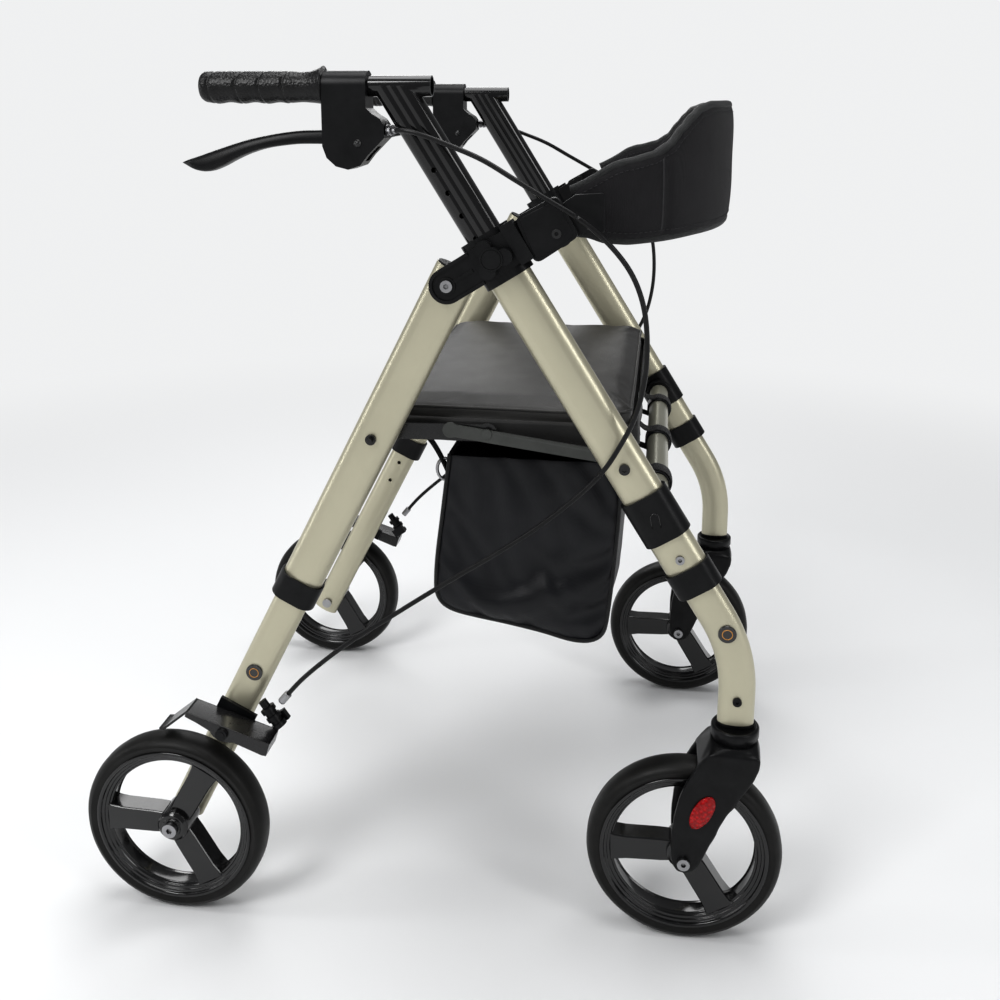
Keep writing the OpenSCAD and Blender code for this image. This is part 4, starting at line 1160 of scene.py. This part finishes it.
# wheels: stepped glossy rim, three bevelled spokes with sunk faces
STEP = [(83.6, 12.6), (87.4, 15.2), (87.0, 16.0), (84.6, 16.2), (83.2, 15.2), (82.4, 13.2), (80.0, 12.8), (79.4, 11.4), (76.8, 10.9), (76.0, 9.4), (74.2, 8.8), (73.8, 7.8), (75.4, 6.4), (75.8, 0)]
for pre, cx, cyl, a0, hub, bod in (("rear", -0.275, W + 0.038, -60, None, "rear_wheel_"), ("caster", 0.270, W, -62, 0.0196, "caster_wheel_")):
    for nm, sg in SIDES:
        node = pre + "_rim_" + nm
        lo_, hi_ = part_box(node)
        if hub is None:
            hub = (hi_[1] - lo_[1]) / 2
        cy = abs(lo_[1] + hi_[1]) / 2
        bm = bmesh.new()
        loop = [(r / 1000, y / 1000) for r, y in STEP] + [(r / 1000, -y / 1000) for r, y in STEP[-2::-1]]
        spin(bm, loop, cx, cy, 0.1015, sg, 84)
        for i in range(3):
            a = math.radians(a0 + 120 * i)
            dx, dz = math.cos(a), -math.sin(a)
            nx_, nz_ = -dz, dx
            L = [(0.010, 0.0120), (0.024, 0.0130), (0.060, 0.0135), (0.0715, 0.0150), (0.0768, 0.0170)]
            out = [(s1, w1) for s1, w1 in L] + [(s1, -w1) for s1, w1 in L[::-1]]
            pts = [(cx + dx * s1 + nx_ * w1, 0.1015 + dz * s1 + nz_ * w1) for s1, w1 in out]
            hy = 0.0098
            f0, f1 = prism(bm, pts, sg * cy - hy, sg * cy + hy)
            bmesh.ops.inset_region(bm, faces=[f0, f1], thickness=0.0030, depth=0.0, use_even_offset=True)
            bmesh.ops.inset_region(bm, faces=[f for f in bm.faces if f in (f0, f1)], thickness=0.0012, depth=-0.0016, use_even_offset=True)
        hp = [(0.0, hub), (0.0085, hub), (0.0100, hub), (0.0106, hub - 0.0016), (0.0140, hub - 0.0016), (0.0152, hub - 0.003), (0.0172, hub - 0.0044), (0.0176, hub - 0.007)]
        loop = [(r, y) for r, y in hp[1:]] + [(r, -y) for r, y in hp[:0:-1]]
        rows_ = spin(bm, loop, cx, cy, 0.1015, sg, 48, False)
        bm.faces.new(rows_[0])
        bm.faces.new(rows_[-1])
        o = bm_obj(pre + "_rim_moulded_" + nm, bm, "rim")
        bevelled(o, 0.0005, 2, 28)
        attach(o, bod + nm)
        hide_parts(node)

# press arm: bent steel channel over the tyre
ax_l, az_l = -0.2168, 0.2121
ra = math.radians(17.5)


def arm(x, y, z, sg):
    return Vector((ax_l + (x * math.cos(ra) + z * math.sin(ra)) / 1000, sg * (W + y / 1000), az_l + (-x * math.sin(ra) + z * math.cos(ra)) / 1000))


for nm, sg in SIDES:
    bm = bmesh.new()

    def slab(outline, y0, y1):
        A = [bm.verts.new(arm(x, y0, z, sg)) for x, z in outline]
        B = [bm.verts.new(arm(x, y1, z, sg)) for x, z in outline]
        m = len(outline)
        bm.faces.new(A)
        bm.faces.new(B[::-1])
        for i in range(m):
            bm.faces.new((A[i], B[i], B[(i + 1) % m], A[(i + 1) % m]))
    flange = [(-44, 8.5), (52, 8.5), (52, -6), (48, -7.5), (14, -5.5), (8, -8), (0, -9.2), (-8, -7.5), (-14, -2.5), (-30, 1.0), (-44, 3.0)]
    slab(flange, 16, 18.3)
    slab(flange, 43.2, 45.5)
    slab([(-44, 8.5), (52, 8.5), (52, 6.2), (-44, 6.2)], 16.2, 45.3)
    c3, s3 = math.cos(math.radians(33)), math.sin(math.radians(33))
    tab = [(-42 + (x * c3 + z * s3), 8.5 + (-x * s3 + z * c3)) for x, z in ((-2.4, 0), (0, 0), (0, -36), (-3.5, -40.5), (-5.5, -39.5), (-2.4, -35))]
    slab(tab, 17, 44.5)
    slab([(49.7, 8.5), (52, 8.5), (52, -7), (49.7, -7)], 16.2, 45.3)
    o = bm_obj("brake_arm_pressed_" + nm, bm, "black_steel", None, False)
    bevelled(o, 0.0007, 2, 40)
    smooth(o)
    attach(o, "brake_shoe_" + nm)
    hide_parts("brake_arm_" + nm)
    # dome nut on the pivot
    bm = bmesh.new()
    rows_ = []
    for r, y in ((0.0066, 45.5), (0.0066, 46.6), (0.0060, 47.4), (0.0034, 48.4), (0.0, 48.8)):
        rows_.append([bm.verts.new(Vector((ax_l + r * math.cos(2 * math.pi * k / 24), sg * (W + y / 1000), az_l + r * math.sin(2 * math.pi * k / 24)))) for k in range(24 if r else 1)])
    for A, B in zip(rows_, rows_[1:]):
        for k in range(24):
            bm.faces.new((A[k], A[(k + 1) % 24], B[(k + 1) % 24], B[k]) if len(B) > 1 else (A[k], A[(k + 1) % 24], B[0]))
    bm.faces.new(rows_[0][::-1])
    bm_obj("brake_arm_nut_" + nm, bm, "black_steel", "brake_shoe_" + nm)

# small raised arch on each T sleeve
tlo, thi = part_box("tee_sleeves")
for nm, sg in SIDES:
    pts = []
    for k in range(25):
        a = math.pi * k / 24
        pts.append((0.0042 * math.cos(a), 0.0042 * math.sin(a) + 0.003))
    pts = [(0.0042, -0.0075)] + pts + [(-0.0042, -0.0075)]
    cxs, czs = KX + 0.302 * math.sin(LL), KZ - 0.302 * math.cos(LL)
    P = [Vector((cxs + u * math.cos(LL * 0.4) - v_ * math.sin(LL * 0.4), sg * (thi[1] + 0.0002), czs + v_ * math.cos(LL * 0.4) + u * math.sin(LL * 0.4))) for u, v_ in pts]
    tube_obj("sleeve_arch_" + nm, P, 0.0006, "black_gloss", "front_frame", 8)

# ---------------------------------------------------------------- badges: plain roundels
def rear_pt(s, t, y):
    return V(px - s * math.sin(rl) + t * math.cos(rl), y, pz - s * math.cos(rl) - t * math.sin(rl))


def disc(bm, c, r, h, sg, seg=40):
    rows_ = []
    for rr, yy in ((r, 0), (r, h * 0.7), (r * 0.95, h), (0.0, h)):
        if rr == 0:
            rows_.append([bm.verts.new(c + Vector((0, sg * yy, 0)))])
        else:
            rows_.append([bm.verts.new(c + Vector((rr * math.cos(2 * math.pi * k / seg), sg * yy, rr * math.sin(2 * math.pi * k / seg)))) for k in range(seg)])
    for A, B in zip(rows_[:-2], rows_[1:-1]):
        for k in range(seg):
            bm.faces.new((A[k], A[(k + 1) % seg], B[(k + 1) % seg], B[k]))
    for k in range(seg):
        bm.faces.new((rows_[-2][k], rows_[-2][(k + 1) % seg], rows_[-1][0]))
    bm.faces.new(rows_[0])


for nm, sg in SIDES:
    for tag, c, body in (("rear", rear_pt(480, 0, sg * (254 + 11.2)), "rear_extension_" + nm),
                         ("front", V(70 + 440 * math.sin(LL) + 1.5, sg * (254 + 11.2), 723 - 440 * math.cos(LL)), "front_extension_" + nm)):
        bm = bmesh.new()
        disc(bm, c - Vector((0, sg * 0.0009, 0)), 0.0092, 0.0021, sg)
        bm_obj("badge_%s_%s" % (tag, nm), bm, "badge", body, False)
        bm = bmesh.new()
        sweep(bm, [c + Vector((0.0050 * math.cos(a), sg * 0.0012, 0.0050 * math.sin(a))) for a in [2 * math.pi * k / 32 for k in range(32)]], 0.0005, 6, True)
        bm_obj("badge_ring_%s_%s" % (tag, nm), bm, "badge_ring", body)

# ---------------------------------------------------------------- cables
for nm, sg in SIDES:
    A = [(-26, 14.5, 841.5), (-14, 19, 841), (0, 21, 838), (28, 22, 828), (60, 25, 815), (92, 30, 797), (122, 35, 780), (150, 38, 764)]
    B = [(150, 38, 764), (176, 38, 744), (199, 34, 716), (212, 30, 685), (217, 27, 650), (216, 25, 612), (208, 23, 574), (193, 22, 541), (176, 23, 514)]
    C = [(176, 23, 514), (150, 25, 487), (115, 27, 457), (78, 28, 430), (40, 28, 404), (0, 27, 376), (-40, 26, 347), (-80, 25, 318), (-112, 24.5, 291)]
    D = [(-112, 24.5, 291), (-134, 24, 270), (-150, 23.4, 251.5), (-156.5, 22.8, 243.5)]
    full = [V(x, sg * (254 + y), z) for x, y, z in A + B[1:] + C[1:] + D[1:]]
    sm = smooth_path(full, 10)
    na, nb, nc = (len(A) - 1) * 10, (len(A) + len(B) - 2) * 10, (len(A) + len(B) + len(C) - 3) * 10
    parts = (("a", sm[:na + 1], "handle_" + nm, "front_frame"), ("b", sm[na:nb + 1], None, None),
             ("c", sm[nb:nc + 1], "front_frame", "rear_frame"), ("d", sm[nc:], "rear_frame", "rear_extension_" + nm))
    for tag, pts, a, b_ in parts:
        o = tube_obj("cable_%s_%s" % (tag, nm), pts, 0.0025, "cable", None, 10)
        if a is None:
            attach(o, "front_frame")
        else:
            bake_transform(o)
    # silver ferrule on the boot
    e = sm[-1]
    d_ = (sm[-1] - sm[-4]).normalized()
    tube_obj("cable_ferrule_" + nm, [e - d_ * 0.011, e - d_ * 0.0105, e, e + d_ * 0.0015], 0.0042, "silver", "rear_extension_" + nm, 14)

# ---------------------------------------------------------------- camera, floor, light
cam_d = bpy.data.cameras.new("cam")
cam = bpy.data.objects.new("cam", cam_d)
scene.collection.objects.link(cam)
yaw, pitch, roll = -0.1494, 0.2018, 0.0024
fwd = Vector((math.sin(yaw) * math.cos(pitch), math.cos(yaw) * math.cos(pitch), -math.sin(pitch)))
rgt = Vector((math.cos(yaw), -math.sin(yaw), 0))
upv = rgt.cross(fwd)
r2 = rgt * math.cos(roll) + upv * math.sin(roll)
u2 = -rgt * math.sin(roll) + upv * math.cos(roll)
mw = Matrix.Identity(4)
for i in range(3):
    mw[i][0], mw[i][1], mw[i][2] = r2[i], u2[i], -fwd[i]
mw[0][3], mw[1][3], mw[2][3] = 0.228434 + OX, -1.283329, 0.859126
cam.matrix_world = mw
cam_d.sensor_width = 36
cam_d.lens = 1082.963 * 36 / 1000
cam_d.shift_y = -0.167
cam_d.clip_start = 0.05
scene.camera = cam

PALE = (0.85, 0.855, 0.86, 1)
fm = bpy.data.materials.new("floor")
fm.use_nodes = True
nt = fm.node_tree
fb = nt.nodes["Principled BSDF"]
fb.inputs["Base Color"].default_value = (0.80, 0.805, 0.81, 1)
fb.inputs["Roughness"].default_value = 0.7
fb.inputs["Specular IOR Level"].default_value = 0.15
geo = nt.nodes.new("ShaderNodeNewGeometry")
ln = nt.nodes.new("ShaderNodeVectorMath")
ln.operation = "LENGTH"
nt.links.new(geo.outputs["Position"], ln.inputs[0])
mr = nt.nodes.new("ShaderNodeMapRange")
mr.interpolation_type = "SMOOTHSTEP"
mr.inputs["From Min"].default_value = 0.75
mr.inputs["From Max"].default_value = 2.6
nt.links.new(ln.outputs["Value"], mr.inputs["Value"])
em = nt.nodes.new("ShaderNodeEmission")
em.inputs["Color"].default_value = PALE
mx = nt.nodes.new("ShaderNodeMixShader")
nt.links.new(mr.outputs[0], mx.inputs[0])
nt.links.new(fb.outputs[0], mx.inputs[1])
nt.links.new(em.outputs[0], mx.inputs[2])
nt.links.new(mx.outputs[0], nt.nodes["Material Output"].inputs["Surface"])
bm = bmesh.new()
bmesh.ops.create_grid(bm, x_segments=1, y_segments=1, size=60)
for v in bm.verts:
    v.co.z = -0.0003
me = bpy.data.meshes.new("floor")
bm.to_mesh(me)
bm.free()
fo = bpy.data.objects.new("floor", me)
me.materials.append(fm)
scene.collection.objects.link(fo)


def area(name, loc, target, size, power, col=(1, 1, 1)):
    l = bpy.data.lights.new(name, "AREA")
    l.shape = "RECTANGLE"
    l.size, l.size_y = size
    l.energy = power
    l.color = col
    o = bpy.data.objects.new(name, l)
    scene.collection.objects.link(o)
    o.location = loc
    o.rotation_euler = (Vector(target) - Vector(loc)).to_track_quat("-Z", "Y").to_euler()
    return o


lights = [area("key", (-1.2, -2.1, 2.5), (0, 0, 0.45), (1.0, 1.3), 46),
          area("fill", (2.3, -1.5, 1.5), (0, 0, 0.4), (0.5, 2.0), 17),
          area("top", (0.1, 0.2, 2.8), (0, 0, 0.3), (2.0, 2.0), 46),
          area("back", (-0.8, 2.4, 1.9), (0, 0, 0.5), (2.0, 0.8), 20),
          area("strip", (-2.2, -0.6, 1.2), (0, 0, 0.45), (0.25, 2.0), 8)]
world = bpy.data.worlds.new("world") if not scene.world else scene.world
scene.world = world
world.use_nodes = True
wn = world.node_tree
for nd in list(wn.nodes):
    wn.nodes.remove(nd)
wo = wn.nodes.new("ShaderNodeOutputWorld")
b1 = wn.nodes.new("ShaderNodeBackground")
b1.inputs[0].default_value = (0.97, 0.98, 1.0, 1)
b1.inputs[1].default_value = 0.25
b2 = wn.nodes.new("ShaderNodeBackground")
b2.inputs[0].default_value = PALE
b2.inputs[1].default_value = 1.0
lp = wn.nodes.new("ShaderNodeLightPath")
wm_ = wn.nodes.new("ShaderNodeMixShader")
wn.links.new(lp.outputs["Is Camera Ray"], wm_.inputs[0])
wn.links.new(b1.outputs[0], wm_.inputs[1])
wn.links.new(b2.outputs[0], wm_.inputs[2])
wn.links.new(wm_.outputs[0], wo.inputs["Surface"])
scene.view_settings.view_transform = "Standard"
scene.view_settings.look = "None"
scene.view_settings.exposure = 0.06
scene.view_settings.gamma = 0.86
